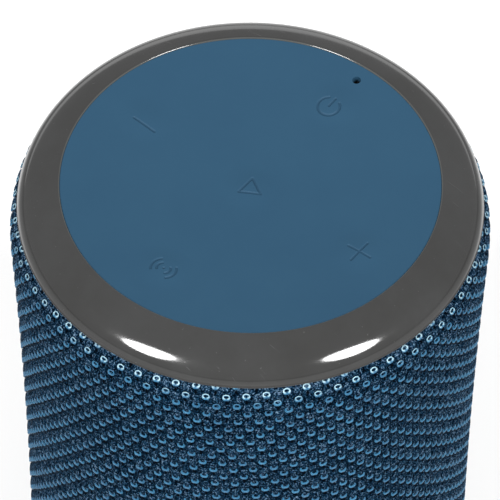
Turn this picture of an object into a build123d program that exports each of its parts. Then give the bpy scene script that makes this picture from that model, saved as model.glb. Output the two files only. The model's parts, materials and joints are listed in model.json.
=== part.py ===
from build123d import *

import math
import os

# Round portable speaker that stands on its foot and plays all round: a knitted sleeve over a slotted
# grille tube, a glossy ring at each end, and a soft keypad on top. +Z is up, -Y is the front, and the
# origin is the middle of the foot's underside. All sizes are in millimetres.

# Overall
overall_height = 132.0
body_radius = 44.0              # knitted sleeve at its fullest, near each end
waist_inset = 0.65              # how much slimmer the sleeve is at mid height
touch_gap = 0.05                # between pieces that rest face to face
glue_gap = 0.1                  # film of glue under the keypad skin

# Top ring
ring_inset = 1.6                # outer edge of both glossy rings, in from the sleeve
ring_width = 7.9                # from that edge in to the crest, which is the ring's highest line
ring_drop = 5.5                 # from the crest down to the ring's outer lip
ring_crown = (0.52, 0.1)        # how far the nearly level crown and the steep shoulder of a ring's face
ring_shoulder = (0.07, 0.55)    # each run, as shares of the face's width and drop
lip_height = 0.35
skirt_clearance = 0.8           # between a ring's skirt and the grille tube round it
skirt_wall = 1.1
skirt_depth = 5.15
ledge_depth = 5.0               # from the crest down to the ledge that the deck sits under

# Keypad
dish_depth = 2.0
skin_thickness = 1.5
skin_clearance = 0.1
skin_below_crest = 0.25
key_circle_radius = 24.7
key_pad_radius = 4.8
key_pad_gap = 0.25
key_pad_thickness = 1.9
key_travel = 0.3
key_stop_gap = 0.3              # left under the plunger's head at full travel
plunger_head_inset = 0.4        # the plunger's head is this much smaller than the pad, all round
plunger_head_thickness = 1.0
plunger_stem_radius = 1.9
stem_clearance = 0.2
well_clearance = 0.25
symbol_depth = 0.3
symbol_stroke = 0.45
symbol_size = 4.8
microphone_radius_from_axis = 31.4
microphone_hole_radius = 0.8

# Deck and key board
deck_underside_drop = 7.5       # below the crest
deck_clearance = 0.2
deck_rim_clearance = 0.1
deck_screw_seat = 2.0           # floor left under the head of a deck screw
board_thickness = 1.2
key_board_inset = 1.0           # the board's edge, in from the crest
fixing_inset = 3.5              # the circle of posts and standoffs, in from the board's edge
standoff_height = 2.5
standoff_radius = 2.4
standoff_pilot_reach = 1.5      # how far a standoff's screw hole goes on into the deck
post_angle = 65.0               # first deck post, and a quarter turn on for each of the others
standoff_angle = 25.0
post_radius = 2.6
post_height = 13.5
post_hole_clearance = 0.3
dome_radius = 3.0
dome_height = 0.6
dome_sheet = 0.15
boot_radius = 2.0
microphone_size = (3.0, 4.0, 1.0)

# Enclosure
enclosure_clearance = 0.4       # between its corners and the inside of the rings' skirts
flat_inset = 14.5               # from the sleeve in to each of the four flats that carry a driver
enclosure_wall = 2.4
enclosure_bottom = 6.0
bulkhead_bottom = 42.0
lid_thickness = 3.0
lid_screw_seat = 1.2            # floor left under the head of a lid screw
gasket_thickness = 0.8
boss_inset = 5.36               # middle of each screw boss, in from the corner it stands in
boss_radius = 3.2
boss_depth = 15.0
pilot_spare = 0.5               # left beyond the tip of a screw, or above a blind hole

# Fasteners
case_screw_head = (2.2, 1.4)    # head radius and height
case_screw_shank = (1.2, 7.0)   # shank radius and length
small_screw_head = (1.7, 1.1)
small_screw_shank = (0.8, 3.6)
thread_clearance = 0.05
shank_clearance = 0.15
head_sink = 0.1                 # a base screw's head lies this far inside the plate's underside

# Drivers and radiators
driver_hole_radius = 18.0
driver_hole_land = 1.5          # between the hole and the middle of each flange edge
flange_corner = 3.0
flange_thickness = 1.8
flange_screw_inset = 2.9
driver_gasket_thickness = 0.5
opening_land = 1.4              # the frame's opening is this much smaller than the hole, all round
basket_depth = 11.0
basket_wall = 1.2
basket_clearance = 0.2          # between the basket and the hole it drops into
basket_window_width = 12.0
basket_window_margin = 1.0
motor_radius = 13.0
ledge_thickness = 1.6
coil_inner_radius = 6.7
coil_outer_radius = 7.3
coil_length = 8.7
pole_radius = 6.2
pole_drop = 0.3                 # the pole's end below the basket's floor
motor_gap_radius = 7.9
motor_seat = 0.4                # the basket's floor stops this far inside the motor's edge
magnet_bore_radius = 9.0
top_plate_thickness = 2.0
magnet_thickness = 5.0
back_plate_thickness = 2.2
roll_width = 3.3                # of the rubber half roll round a cone
cone_wall = 0.5
cone_depth = 8.0
cap_rise = 1.5
surround_sheet = 0.5
surround_land = 1.7
spider_sheet = 0.4
spider_rise = 0.6
spider_land = 1.0
weight_radius = 7.0
weight_thickness = 2.0
diaphragm_thickness = 1.2
diaphragm_roll_width = 4.0

# Grille tube and sleeve
sleeve_thickness = 2.2
sleeve_tuck = 1.8               # the sleeve's edge under a ring, in from the sleeve's side
shoulder_length = 8.0
shoulder_fullness = 3.0
shoulder_spread = 0.1
grille_wall = 1.8
grille_gap = 0.1
slot_columns = 36
slot_rows = 6
slot_width = 4.2
slot_rib = 2.6                  # between one row of slots and the next
slot_margin = 9.0               # plain band at each end of the grille tube

# Charging port
port_height = 27.0
bezel_size = (20.0, 12.0)
bezel_corner = 3.0
bezel_inset = 0.25              # the bezel's face, in from the sleeve
recess_size = (17.0, 9.0)
recess_corner = 0.6
recess_depth = 9.15
bezel_floor = 1.4
flap_thickness = 1.6
flap_clearance = 0.25
flap_hinge_lift = 0.8           # the hinge line above the flap's lower edge
seal_size = (8.6, 2.6)
seal_depth = 2.5
socket_size = (9.0, 3.2)
socket_wall = 0.3
socket_floor = 1.0
socket_length = 7.9
socket_clearance = 0.3
tongue_thickness = 0.7
tongue_setback = 0.8            # the tongue's end inside the socket's mouth
tongue_side_gap = 0.9
round_end_margin = 0.01         # a rounded end is this much short of a half circle
port_board_size = (20.0, 12.0)
port_board_thickness = 1.6
port_board_setback = 2.0        # the board's face, in from the enclosure's inner wall

# Battery and main board
cell_radius = 9.15
cell_length = 49.5
cell_spacing = 18.8
cell_height = 19.0
cell_clearance = 0.15
holder_size = (51.0, 38.4)
holder_bottom = 8.5
main_board_side = 50.0
main_board_corner = 4.0
main_board_height = 34.0
main_board_thickness = 1.6
main_standoff_offset = 20.0
ribbon_width = 6.0
ribbon_thickness = 0.3
ribbon_angle = 225.0
ribbon_bend = 1.2
ribbon_offset = 0.8             # how far outside the enclosure's corner the ribbon runs
ribbon_end_radius = 25.2
ribbon_drop = 2.0               # its slot, below the main board
connector_radius = 23.5

# Foot end
foot_clearance = 0.2            # between the foot and the bottom ring round it
foot_thickness = 2.6
foot_chamfer = 0.6
foot_grooves = 4
foot_groove_depth = 0.5
foot_groove_width = 1.2
base_plate_thickness = 2.85
base_spigot = 2.0               # how far the base plate reaches up inside the enclosure
bottom_ring_bottom = 1.6
bottom_ring_width = 6.0         # from its outer edge in to its opening
bottom_ring_land = 0.6          # flat underside, outside that opening
bottom_ring_top = 8.8
bottom_skirt_height = 4.0
plate_clearance = 0.1

# Radii that follow from the ones above
ring_radius = body_radius - ring_inset
crest_radius = ring_radius - ring_width
sleeve_edge_radius = body_radius - sleeve_tuck
grille_inner_radius = body_radius - sleeve_thickness - grille_gap - grille_wall
skirt_outer_radius = grille_inner_radius - skirt_clearance
skirt_inner_radius = skirt_outer_radius - skirt_wall
skin_radius = crest_radius - skin_clearance
dish_radius = (skin_radius**2 + dish_depth**2) / (2 * dish_depth)
plunger_head_radius = key_pad_radius - plunger_head_inset
deck_radius = skirt_inner_radius - deck_clearance
key_board_radius = crest_radius - key_board_inset
fixing_circle_radius = key_board_radius - fixing_inset
corner_radius = skirt_inner_radius - enclosure_clearance
flat_distance = body_radius - flat_inset
boss_offset = (corner_radius - boss_inset) / math.sqrt(2)
case_pilot_radius = case_screw_shank[0] + thread_clearance
case_hole_radius = case_screw_shank[0] + shank_clearance
case_head_hole_radius = case_screw_head[0] + shank_clearance
small_pilot_radius = small_screw_shank[0] + thread_clearance
small_hole_radius = small_screw_shank[0] + shank_clearance
flange_side = 2 * (driver_hole_radius + driver_hole_land)
flange_screw_offset = flange_side / 2 - flange_screw_inset
frame_opening_radius = driver_hole_radius - opening_land
basket_top_radius = driver_hole_radius - basket_clearance
cone_edge_radius = frame_opening_radius - roll_width
diaphragm_radius = frame_opening_radius - diaphragm_roll_width
bottom_ring_inner_radius = ring_radius - bottom_ring_width
bottom_ring_foot_radius = bottom_ring_inner_radius + bottom_ring_land
foot_radius = bottom_ring_inner_radius - foot_clearance
ribbon_run_radius = corner_radius + ribbon_offset

# Heights that follow
ring_lip_top = overall_height - ring_drop
ring_lip_bottom = ring_lip_top - lip_height
ledge_z = overall_height - ledge_depth
skin_edge_z = overall_height - skin_below_crest
deck_bottom = overall_height - deck_underside_drop
deck_screw_z = deck_bottom + deck_screw_seat
key_board_top = deck_bottom - standoff_height
key_board_bottom = key_board_top - board_thickness
lid_top = deck_bottom - post_height
lid_bottom = lid_top - lid_thickness
lid_screw_z = lid_bottom + lid_screw_seat
enclosure_top = lid_bottom - gasket_thickness
driver_height = (bulkhead_bottom + enclosure_wall + enclosure_top) / 2
base_plate_bottom = foot_thickness + touch_gap
base_screw_z = base_plate_bottom + case_screw_head[1] + head_sink
grille_low = bottom_ring_top + 4 * touch_gap
grille_high = ring_lip_bottom - 4 * touch_gap
sleeve_low = bottom_ring_top + touch_gap
sleeve_high = ring_lip_bottom - touch_gap
main_board_top = main_board_height + main_board_thickness
ribbon_slot_z = main_board_height - ribbon_drop

# Distances along a driver's own axis, from the flat that it is fixed to
flange_front = driver_gasket_thickness + flange_thickness
magnet_top = -basket_depth - top_plate_thickness - 2 * touch_gap
yoke_top = magnet_top - magnet_thickness - touch_gap
cone_neck = flange_front - cone_depth

# Distances from the axis at the charging port
bezel_face = body_radius - bezel_inset
recess_floor_y = bezel_face - recess_depth
port_board_front = flat_distance - enclosure_wall - port_board_setback
flap_size = (recess_size[0] - 2 * flap_clearance, recess_size[1] - 2 * flap_clearance)
hinge_y = bezel_face - touch_gap - flap_thickness / 2
hinge_z = port_height - flap_size[1] / 2 + flap_hinge_lift

driver_angles = {"front": -90, "rear": 90, "left": 180, "right": 0}


def dish_z(radius):
    """Height of the keypad's top surface at a distance from the axis."""
    return skin_edge_z - dish_depth + dish_radius - math.sqrt(dish_radius**2 - radius**2)


keys = {
    "power": (0.0, key_circle_radius),
    "minus": (-key_circle_radius, 0.0),
    "pairing": (0.0, -key_circle_radius),
    "plus": (key_circle_radius, 0.0),
    "play": (0.0, 0.0),
}


# ---------------------------------------------------------------- helpers
def section(*lines):
    """A flat face from lines drawn as (radius, height)."""
    return make_face(Curve() + list(lines))


def turned(*lines):
    """A solid of revolution about Z from lines drawn as (radius, height)."""
    return revolve(Plane.XZ * section(*lines), Axis.Z)


def turned_outline(*points):
    """A solid of revolution about Z from the corners of its half section."""
    return turned(Polyline(*points, close=True))


def upright(radius, bottom, top, x=0.0, y=0.0):
    """A round bar that stands at (x, y) from one height to another."""
    return Pos(x, y, (bottom + top) / 2) * Cylinder(radius, top - bottom)


def block(size_x, size_y, size_z, x=0.0, y=0.0, bottom=0.0):
    return Pos(x, y, bottom + size_z / 2) * Box(size_x, size_y, size_z)


def slab(sketch, bottom, top):
    """A flat drawing raised from one height to another."""
    return Pos(0, 0, bottom) * extrude(sketch, top - bottom)


def around(angle, radius):
    """The four points of a square of fixings on a circle."""
    turns = [math.radians(angle + 90 * k) for k in range(4)]
    return [(radius * math.cos(t), radius * math.sin(t)) for t in turns]


def corners(offset):
    return [(sx * offset, sy * offset) for sx in (-1, 1) for sy in (-1, 1)]


def tube_section(inset):
    """The enclosure's outline, a circle with four flats, drawn in by inset."""
    side = 2 * (flat_distance - inset)
    return Circle(corner_radius - inset) & Rectangle(side, side)


def wall_line(inset, low, high):
    """The waisted side of the sleeve between two heights, moved in by inset."""
    middle = (low + high) / 2
    full = body_radius - inset
    return ThreePointArc((full, low), (full - waist_inset, middle), (full, high))


def screw(head, shank, z, x, y, down=True):
    """A screw whose head rests on height z, with its shank below it or above it."""
    way = 1 if down else -1
    cap = sorted((z, z + way * head[1]))
    stem = sorted((z - way * shank[1], z))
    return upright(head[0], *cap, x, y) + upright(shank[0], *stem, x, y)


def ring_face(inner, outer):
    """A glossy ring's rounded outer face, from its nearly level inner edge to its steep outer lip."""
    width, drop = outer[0] - inner[0], outer[1] - inner[1]
    crown = (inner[0] + ring_crown[0] * width, inner[1] + ring_crown[1] * drop)
    shoulder = (outer[0] - ring_shoulder[0] * width, outer[1] - ring_shoulder[1] * drop)
    return Bezier(inner, crown, shoulder, outer)


# ---------------------------------------------------------------- top end
def top_ring():
    crest = (crest_radius, overall_height)
    lip = (ring_radius, ring_lip_top)
    rest = Polyline(
        lip,
        (ring_radius, ring_lip_bottom),
        (skirt_outer_radius, ring_lip_bottom),
        (skirt_outer_radius, ring_lip_bottom - skirt_depth),
        (skirt_inner_radius, ring_lip_bottom - skirt_depth),
        (skirt_inner_radius, ledge_z),
        (crest_radius, ledge_z),
        crest,
    )
    return turned(ring_face(crest, lip), rest)


def under_dish(bottom, lowered=0.0, radius=skin_radius):
    """Everything from a flat height up to the keypad's dished surface, lowered by a set amount."""
    edge = dish_z(radius) - lowered
    arc = ThreePointArc(
        (0, dish_z(0) - lowered),
        (radius / 2, dish_z(radius / 2) - lowered),
        (radius, edge),
    )
    sides = Polyline((radius, edge), (radius, bottom), (0, bottom), (0, dish_z(0) - lowered))
    return turned(arc, sides)


def keypad_skin():
    floor = deck_bottom
    skin = under_dish(floor) - under_dish(floor, skin_thickness)
    for x, y in keys.values():
        skin -= upright(key_pad_radius + key_pad_gap, floor, overall_height, x, y)
    return skin - upright(microphone_hole_radius, floor, overall_height, 0, microphone_radius_from_axis)


def pad_bottom(x, y):
    return dish_z(math.hypot(x, y)) - key_pad_thickness


def head_bottom(x, y):
    return pad_bottom(x, y) - plunger_head_thickness


def deck_plate():
    step = ledge_z - deck_rim_clearance
    shoulder = crest_radius - deck_clearance - skin_clearance
    deck = under_dish(deck_bottom, skin_thickness + glue_gap, shoulder)
    deck += upright(deck_radius, deck_bottom, step)
    for x, y in keys.values():
        floor = head_bottom(x, y) - key_travel - key_stop_gap
        deck -= upright(key_pad_radius + well_clearance, floor, overall_height, x, y)
        deck -= upright(plunger_stem_radius + stem_clearance, deck_bottom, overall_height, x, y)
    for x, y in around(standoff_angle, fixing_circle_radius):
        deck += upright(standoff_radius, key_board_top, deck_bottom, x, y)
        deck -= upright(small_pilot_radius, key_board_top, deck_bottom + standoff_pilot_reach, x, y)
    for x, y in around(post_angle, fixing_circle_radius):
        deck -= upright(case_head_hole_radius, deck_screw_z, overall_height, x, y)
        deck -= upright(case_hole_radius, deck_bottom, overall_height, x, y)
    return deck - upright(microphone_hole_radius, deck_bottom, overall_height, 0, microphone_radius_from_axis)


def power_symbol():
    ring = Circle(symbol_size / 2) - Circle(symbol_size / 2 - symbol_stroke)
    gap = Pos(0, symbol_size / 2) * Rectangle(4 * symbol_stroke, symbol_size / 2)
    return ring - gap + Pos(0, symbol_size / 4) * Rectangle(symbol_stroke, symbol_size / 2)


def minus_symbol():
    return Rectangle(symbol_size, symbol_stroke)


def plus_symbol():
    return Rectangle(symbol_size, symbol_stroke) + Rectangle(symbol_stroke, symbol_size)


def pairing_symbol():
    """A dot with two arcs of radio waves on each side."""
    waves = Sketch()
    for radius in (symbol_size / 4 + symbol_stroke, symbol_size / 2):
        waves += Circle(radius) - Circle(radius - symbol_stroke)
    side = symbol_size / 2 + symbol_stroke
    above = Polygon((0, 0), (side, side), (-side, side), align=None)
    return waves - above - above.rotate(Axis.Z, 180) + Circle(symbol_stroke)


def play_symbol():
    """An outlined triangle that points to the right."""
    outer = RegularPolygon(symbol_size / 2, 3)
    return outer - RegularPolygon(symbol_size / 2 - 2 * symbol_stroke, 3)


symbols = {
    "power": power_symbol,
    "minus": minus_symbol,
    "pairing": pairing_symbol,
    "plus": plus_symbol,
    "play": play_symbol,
}


def key_pad(name):
    x, y = keys[name]
    bottom = pad_bottom(x, y)
    pad = under_dish(bottom) & upright(key_pad_radius, bottom, overall_height, x, y)
    groove = Pos(x, y, bottom) * extrude(symbols[name](), overall_height - bottom)
    return pad - (groove - under_dish(bottom - 1, symbol_depth))


def key_plunger(name):
    x, y = keys[name]
    tip = key_board_top + dome_height + touch_gap
    head = upright(plunger_head_radius, head_bottom(x, y), pad_bottom(x, y), x, y)
    return head + upright(plunger_stem_radius, tip, head_bottom(x, y), x, y)


def snap_domes():
    """The five sprung metal domes that the keys press, one under each plunger."""
    ball_radius = (dome_radius**2 + dome_height**2) / (2 * dome_height)
    centre = Pos(0, 0, dome_height - ball_radius)
    shell = centre * Sphere(ball_radius) - centre * Sphere(ball_radius - dome_sheet)
    dome = shell & upright(dome_radius, 0, dome_height)
    return Compound([Pos(x, y, key_board_top) * dome for x, y in keys.values()])


def key_board():
    board = upright(key_board_radius, key_board_bottom, key_board_top)
    for x, y in around(standoff_angle, fixing_circle_radius):
        board -= upright(small_hole_radius, key_board_bottom, key_board_top, x, y)
    for x, y in around(post_angle, fixing_circle_radius):
        board -= upright(post_radius + post_hole_clearance, key_board_bottom, key_board_top, x, y)
    return board - upright(
        microphone_hole_radius, key_board_bottom, key_board_top, 0, microphone_radius_from_axis
    )


def microphone():
    width, length, height = microphone_size
    return block(width, length, height, y=microphone_radius_from_axis, bottom=key_board_bottom - height)


def microphone_boot():
    y = microphone_radius_from_axis
    tube = upright(boot_radius, key_board_top, deck_bottom, 0, y)
    return tube - upright(microphone_hole_radius, key_board_top, deck_bottom, 0, y)


# ---------------------------------------------------------------- enclosure
def enclosure_body():
    body = slab(tube_section(0) - tube_section(enclosure_wall), enclosure_bottom, enclosure_top)
    body += slab(tube_section(enclosure_wall / 2), bulkhead_bottom, bulkhead_bottom + enclosure_wall)
    boss_rounds = Sketch() + [Pos(x, y) * Circle(boss_radius) for x, y in corners(boss_offset)]
    bosses = slab(boss_rounds, 0, boss_depth)
    inside = slab(tube_section(enclosure_wall / 2), enclosure_bottom, enclosure_top)
    body += (Pos(0, 0, enclosure_top - boss_depth) * bosses) & inside
    body += (Pos(0, 0, enclosure_bottom) * bosses) & inside
    for x, y in corners(boss_offset):
        body -= upright(case_pilot_radius, enclosure_top - case_screw_shank[1], enclosure_top, x, y)
        body -= upright(case_pilot_radius, enclosure_bottom, enclosure_bottom + case_screw_shank[1], x, y)
    for x, y in corners(main_standoff_offset):
        body += upright(standoff_radius, main_board_top, bulkhead_bottom, x, y)
        body -= upright(small_pilot_radius, main_board_top, bulkhead_bottom - pilot_spare, x, y)
    hole = Pos(0, 0, flat_distance) * Cylinder(driver_hole_radius, 4 * enclosure_wall)
    for x, y in corners(flange_screw_offset):
        hole += Pos(x, y, flat_distance) * Cylinder(small_pilot_radius, 4 * enclosure_wall)
    for angle in (0, 90, 180, 270):
        body -= Pos(0, 0, driver_height) * Rot(0, 0, angle) * Rot(0, 90, 0) * hole
    window_x, window_z = (side + 2 * socket_clearance for side in socket_size)
    window = Box(window_x, 4 * enclosure_wall, window_z)
    body -= Pos(0, flat_distance, port_height) * window
    slot_height = 4 * ribbon_thickness + 2
    slot = Pos(corner_radius, 0, ribbon_slot_z) * Box(4 * enclosure_wall, ribbon_width + 1, slot_height)
    return body - Rot(0, 0, ribbon_angle) * slot


def enclosure_lid():
    lid = slab(tube_section(0), lid_bottom, lid_top)
    for x, y in around(post_angle, fixing_circle_radius):
        lid += upright(post_radius, lid_top, deck_bottom, x, y)
        pilot_bottom = deck_screw_z - case_screw_shank[1] - pilot_spare
        lid -= upright(case_pilot_radius, pilot_bottom, deck_bottom, x, y)
    for x, y in corners(boss_offset):
        lid -= upright(case_hole_radius, lid_bottom, lid_top, x, y)
        lid -= upright(case_head_hole_radius, lid_screw_z, lid_top, x, y)
    return lid


def lid_gasket():
    seal = slab(tube_section(0) - tube_section(enclosure_wall), enclosure_top, lid_bottom)
    for x, y in corners(boss_offset):
        tab = slab(Pos(x, y) * Circle(boss_radius), enclosure_top, lid_bottom)
        seal += tab & slab(tube_section(enclosure_wall / 2), enclosure_top, lid_bottom)
        seal -= upright(case_hole_radius, enclosure_top, lid_bottom, x, y)
    return seal


def case_screws():
    """The identical screws of the deck, the lid and the base plate."""
    bodies = [
        screw(case_screw_head, case_screw_shank, deck_screw_z, x, y)
        for x, y in around(post_angle, fixing_circle_radius)
    ]
    bodies += [
        screw(case_screw_head, case_screw_shank, lid_screw_z, x, y) for x, y in corners(boss_offset)
    ]
    bodies += [
        screw(case_screw_head, case_screw_shank, base_screw_z, x, y, down=False)
        for x, y in corners(boss_offset)
    ]
    return Compound(bodies)


def board_screws():
    """The identical small screws of the key board and the main board, which go in from below."""
    bodies = [
        screw(small_screw_head, small_screw_shank, key_board_bottom, x, y, down=False)
        for x, y in around(standoff_angle, fixing_circle_radius)
    ]
    bodies += [
        screw(small_screw_head, small_screw_shank, main_board_height, x, y, down=False)
        for x, y in corners(main_standoff_offset)
    ]
    return Compound(bodies)


# ---------------------------------------------------------------- drivers, drawn with their axis along Z
def placed(shape, angle):
    """A driver piece moved from its own axis to the flat that faces an angle about Z."""
    return Pos(0, 0, driver_height) * Rot(0, 0, angle) * Rot(0, 90, 0) * Pos(0, 0, flat_distance) * shape


def flange():
    outline = RectangleRounded(flange_side, flange_side, flange_corner)
    plate = slab(outline, driver_gasket_thickness, flange_front)
    plate -= upright(frame_opening_radius, 0, flange_front)
    for x, y in corners(flange_screw_offset):
        plate -= upright(small_hole_radius, 0, flange_front, x, y)
    return plate


def driver_gasket():
    ring = slab(RectangleRounded(flange_side, flange_side, flange_corner), 0, driver_gasket_thickness)
    ring -= upright(driver_hole_radius, 0, driver_gasket_thickness)
    for x, y in corners(flange_screw_offset):
        ring -= upright(small_hole_radius, 0, driver_gasket_thickness, x, y)
    return ring


def driver_gaskets():
    return Compound([placed(driver_gasket(), angle) for angle in driver_angles.values()])


def driver_screws():
    places = corners(flange_screw_offset)
    one = [screw(small_screw_head, small_screw_shank, flange_front, x, y) for x, y in places]
    return Compound([placed(s, angle) for angle in driver_angles.values() for s in one])


def basket():
    wall = turned_outline(
        (basket_top_radius, driver_gasket_thickness),
        (frame_opening_radius, flange_front),
        (frame_opening_radius, flange_front - basket_wall),
        (motor_radius - basket_wall, ledge_thickness - basket_depth),
        (motor_gap_radius + 10 * touch_gap, ledge_thickness - basket_depth),
        (motor_gap_radius + 10 * touch_gap, -basket_depth),
        (motor_radius - motor_seat, -basket_depth),
    )
    window_height = basket_depth - 2 * ledge_thickness - basket_window_margin
    window_middle = -window_height / 2 - basket_window_margin
    for angle in (0, 90, 180, 270):
        window = Box(motor_radius, basket_window_width, window_height)
        wall -= Rot(0, 0, angle) * Pos(basket_top_radius, 0, window_middle) * window
    return flange() + wall


def top_plate():
    top = -basket_depth - touch_gap
    bottom = top - top_plate_thickness
    return upright(motor_radius, bottom, top) - upright(motor_gap_radius, bottom, top)


def magnet():
    ring = upright(motor_radius + motor_seat, magnet_top - magnet_thickness, magnet_top)
    return ring - upright(magnet_bore_radius, magnet_top - magnet_thickness, magnet_top)


def yoke():
    plate = upright(motor_radius, yoke_top - back_plate_thickness, yoke_top)
    pole = upright(pole_radius, yoke_top, -basket_depth - pole_drop)
    vent = upright(pole_radius / 3, yoke_top - back_plate_thickness, 0)
    return plate + pole - vent


def cone():
    """Paper cone with its dust cap and the coil's former, bonded as one."""
    cap_base = cone_neck + 2 * cone_wall
    shell = section(
        Polyline(
            (coil_inner_radius, cone_neck),
            (coil_outer_radius + cone_wall, cone_neck),
            (cone_edge_radius - cone_wall, flange_front - cone_wall),
            (cone_edge_radius, flange_front - cone_wall),
            (cone_edge_radius, flange_front),
            (cone_edge_radius - 2 * cone_wall, flange_front),
            (coil_inner_radius, cap_base),
            close=True,
        )
    )
    former = section(
        Polyline(
            (coil_inner_radius, cone_neck - coil_length),
            (coil_outer_radius, cone_neck - coil_length),
            (coil_outer_radius, cap_base),
            (coil_inner_radius, cap_base),
            close=True,
        )
    )
    cap = section(
        Line((coil_inner_radius, cap_base - cone_wall), (coil_outer_radius, cap_base)),
        cap_arc(coil_outer_radius, cap_base, cap_rise + cone_wall),
        Line((0, cap_base + cap_rise + cone_wall), (0, cap_base + cap_rise)),
        cap_arc(coil_inner_radius, cap_base - cone_wall, cap_rise + cone_wall),
    )
    return revolve(Plane.XZ * (shell + former + cap), Axis.Z)


def cap_arc(radius, base, rise):
    """A dust cap's curve, level at its middle on the axis."""
    ball_radius = (radius**2 + rise**2) / (2 * rise)
    half = radius / 2
    drop = ball_radius - math.sqrt(ball_radius**2 - half**2)
    return ThreePointArc((radius, base), (half, base + rise - drop), (0, base + rise))


def surround(inner_edge):
    """Rubber half roll between a moving edge and the flange."""
    base = flange_front + touch_gap
    roll_out = frame_opening_radius - 2 * touch_gap
    middle = (inner_edge + roll_out) / 2
    roll = (roll_out - inner_edge) / 2
    return turned(
        Polyline((inner_edge - surround_land, base), (inner_edge, base)),
        ThreePointArc((inner_edge, base), (middle, base + roll - surround_sheet), (roll_out, base)),
        Polyline(
            (roll_out, base),
            (roll_out + surround_land, base),
            (roll_out + surround_land, base + surround_sheet),
            (roll_out + surround_sheet, base + surround_sheet),
        ),
        ThreePointArc(
            (roll_out + surround_sheet, base + surround_sheet),
            (middle, base + roll + surround_sheet),
            (inner_edge - surround_sheet, base + surround_sheet),
        ),
        Polyline(
            (inner_edge - surround_sheet, base + surround_sheet),
            (inner_edge - surround_land, base + surround_sheet),
            (inner_edge - surround_land, base),
        ),
    )


def spider():
    """Springy disc that centres the coil's former on the basket's ledge."""
    low = ledge_thickness - basket_depth + touch_gap
    high = low + spider_sheet
    inner = coil_outer_radius + touch_gap
    outer = motor_radius - basket_wall - 6 * touch_gap
    roll_in, roll_out = inner + spider_sheet, outer - spider_land
    middle = (inner + outer) / 2
    return turned(
        Polyline((inner, high), (inner, low), (roll_in, low)),
        ThreePointArc((roll_in, low), (middle, low + spider_rise), (roll_out, low)),
        Polyline((roll_out, low), (outer, low), (outer, high), (roll_out, high)),
        ThreePointArc((roll_out, high), (middle, high + spider_rise), (roll_in, high)),
        Polyline((roll_in, high), (inner, high)),
    )


def radiator_frame():
    collar = upright(basket_top_radius, -enclosure_wall, driver_gasket_thickness)
    collar -= upright(frame_opening_radius, -enclosure_wall, driver_gasket_thickness)
    return flange() + collar


def radiator_diaphragm():
    plate = upright(diaphragm_radius, flange_front - diaphragm_thickness, flange_front)
    weight_top = flange_front - diaphragm_thickness
    return plate + upright(weight_radius, weight_top - weight_thickness, weight_top)


# ---------------------------------------------------------------- sleeve and grille
def shoulder_line(edge_z, way, inset=0.0):
    """The rounded end of the sleeve, from its side to the edge that tucks under a ring."""
    full = body_radius - inset
    edge = sleeve_edge_radius - inset
    return Bezier(
        (full, edge_z - way * shoulder_length),
        (full, edge_z - way * shoulder_fullness),
        ((full + edge) / 2 + shoulder_spread, edge_z),
        (edge, edge_z),
    )


def port_cutout(clearance):
    width, height = (side + 2 * clearance for side in bezel_size)
    outline = RectangleRounded(width, height, bezel_corner + clearance)
    prism = extrude(Plane.XZ * outline, -2 * body_radius)
    return Pos(0, 0, port_height) * prism - upright(corner_radius, 0, overall_height)


def fabric_sleeve():
    inner = body_radius - sleeve_thickness
    side = wall_line(0, sleeve_low + shoulder_length, sleeve_high - shoulder_length)
    inside = wall_line(sleeve_thickness, sleeve_low, sleeve_high)
    sleeve = turned(
        side,
        shoulder_line(sleeve_high, 1),
        Line((sleeve_edge_radius, sleeve_high), (inner, sleeve_high)),
        inside,
        Line((inner, sleeve_low), (sleeve_edge_radius, sleeve_low)),
        shoulder_line(sleeve_low, -1),
    )
    return sleeve - port_cutout(touch_gap)


def grille_frame():
    outer = sleeve_thickness + grille_gap
    tube = turned(
        wall_line(outer, grille_low, grille_high),
        Line((body_radius - outer, grille_high), (body_radius - outer - grille_wall, grille_high)),
        wall_line(outer + grille_wall, grille_low, grille_high),
        Line((body_radius - outer - grille_wall, grille_low), (body_radius - outer, grille_low)),
    )
    window = grille_high - grille_low - 2 * slot_margin
    slot_height = (window - (slot_rows - 1) * slot_rib) / slot_rows
    port_low = port_height - bezel_size[1] / 2 - slot_rib
    port_high = port_height + bezel_size[1] / 2 + slot_rib
    port_half = math.degrees((bezel_size[0] / 2 + slot_rib + slot_width / 2) / body_radius)
    slots = []
    for row in range(slot_rows):
        low = grille_low + slot_margin + row * (slot_height + slot_rib)
        for column in range(slot_columns):
            angle = 360 * (column + 0.5) / slot_columns
            level = low < port_high and low + slot_height > port_low
            if not (level and abs(angle - 90) < port_half):
                cutter = Box(4 * grille_wall, slot_width, slot_height)
                place = Pos(body_radius - outer, 0, low + slot_height / 2)
                slots.append(Rot(0, 0, angle) * place * cutter)
    return tube - slots - port_cutout(touch_gap)


# ---------------------------------------------------------------- charging port, on the back
def port_prism(size, corner, near, far):
    """A rounded bar along Y between two distances from the axis, at the port's height."""
    sketch = RectangleRounded(*size, corner) if corner else Rectangle(*size)
    bar = extrude(Plane.XZ * sketch, near - far)
    return Pos(0, near, port_height) * bar


def round_end(size):
    """Corner radius that makes the ends of a bar of this size round."""
    return size[1] / 2 - round_end_margin


def port_bezel():
    back = flat_distance + touch_gap
    bezel = port_prism(bezel_size, bezel_corner, back, bezel_face)
    bezel -= port_prism(recess_size, recess_corner, recess_floor_y, bezel_face)
    bezel -= port_prism(recess_size, recess_corner, back, recess_floor_y - bezel_floor)
    window = tuple(side + 2 * socket_clearance for side in socket_size)
    return bezel - port_prism(window, 0, back, bezel_face)


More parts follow.
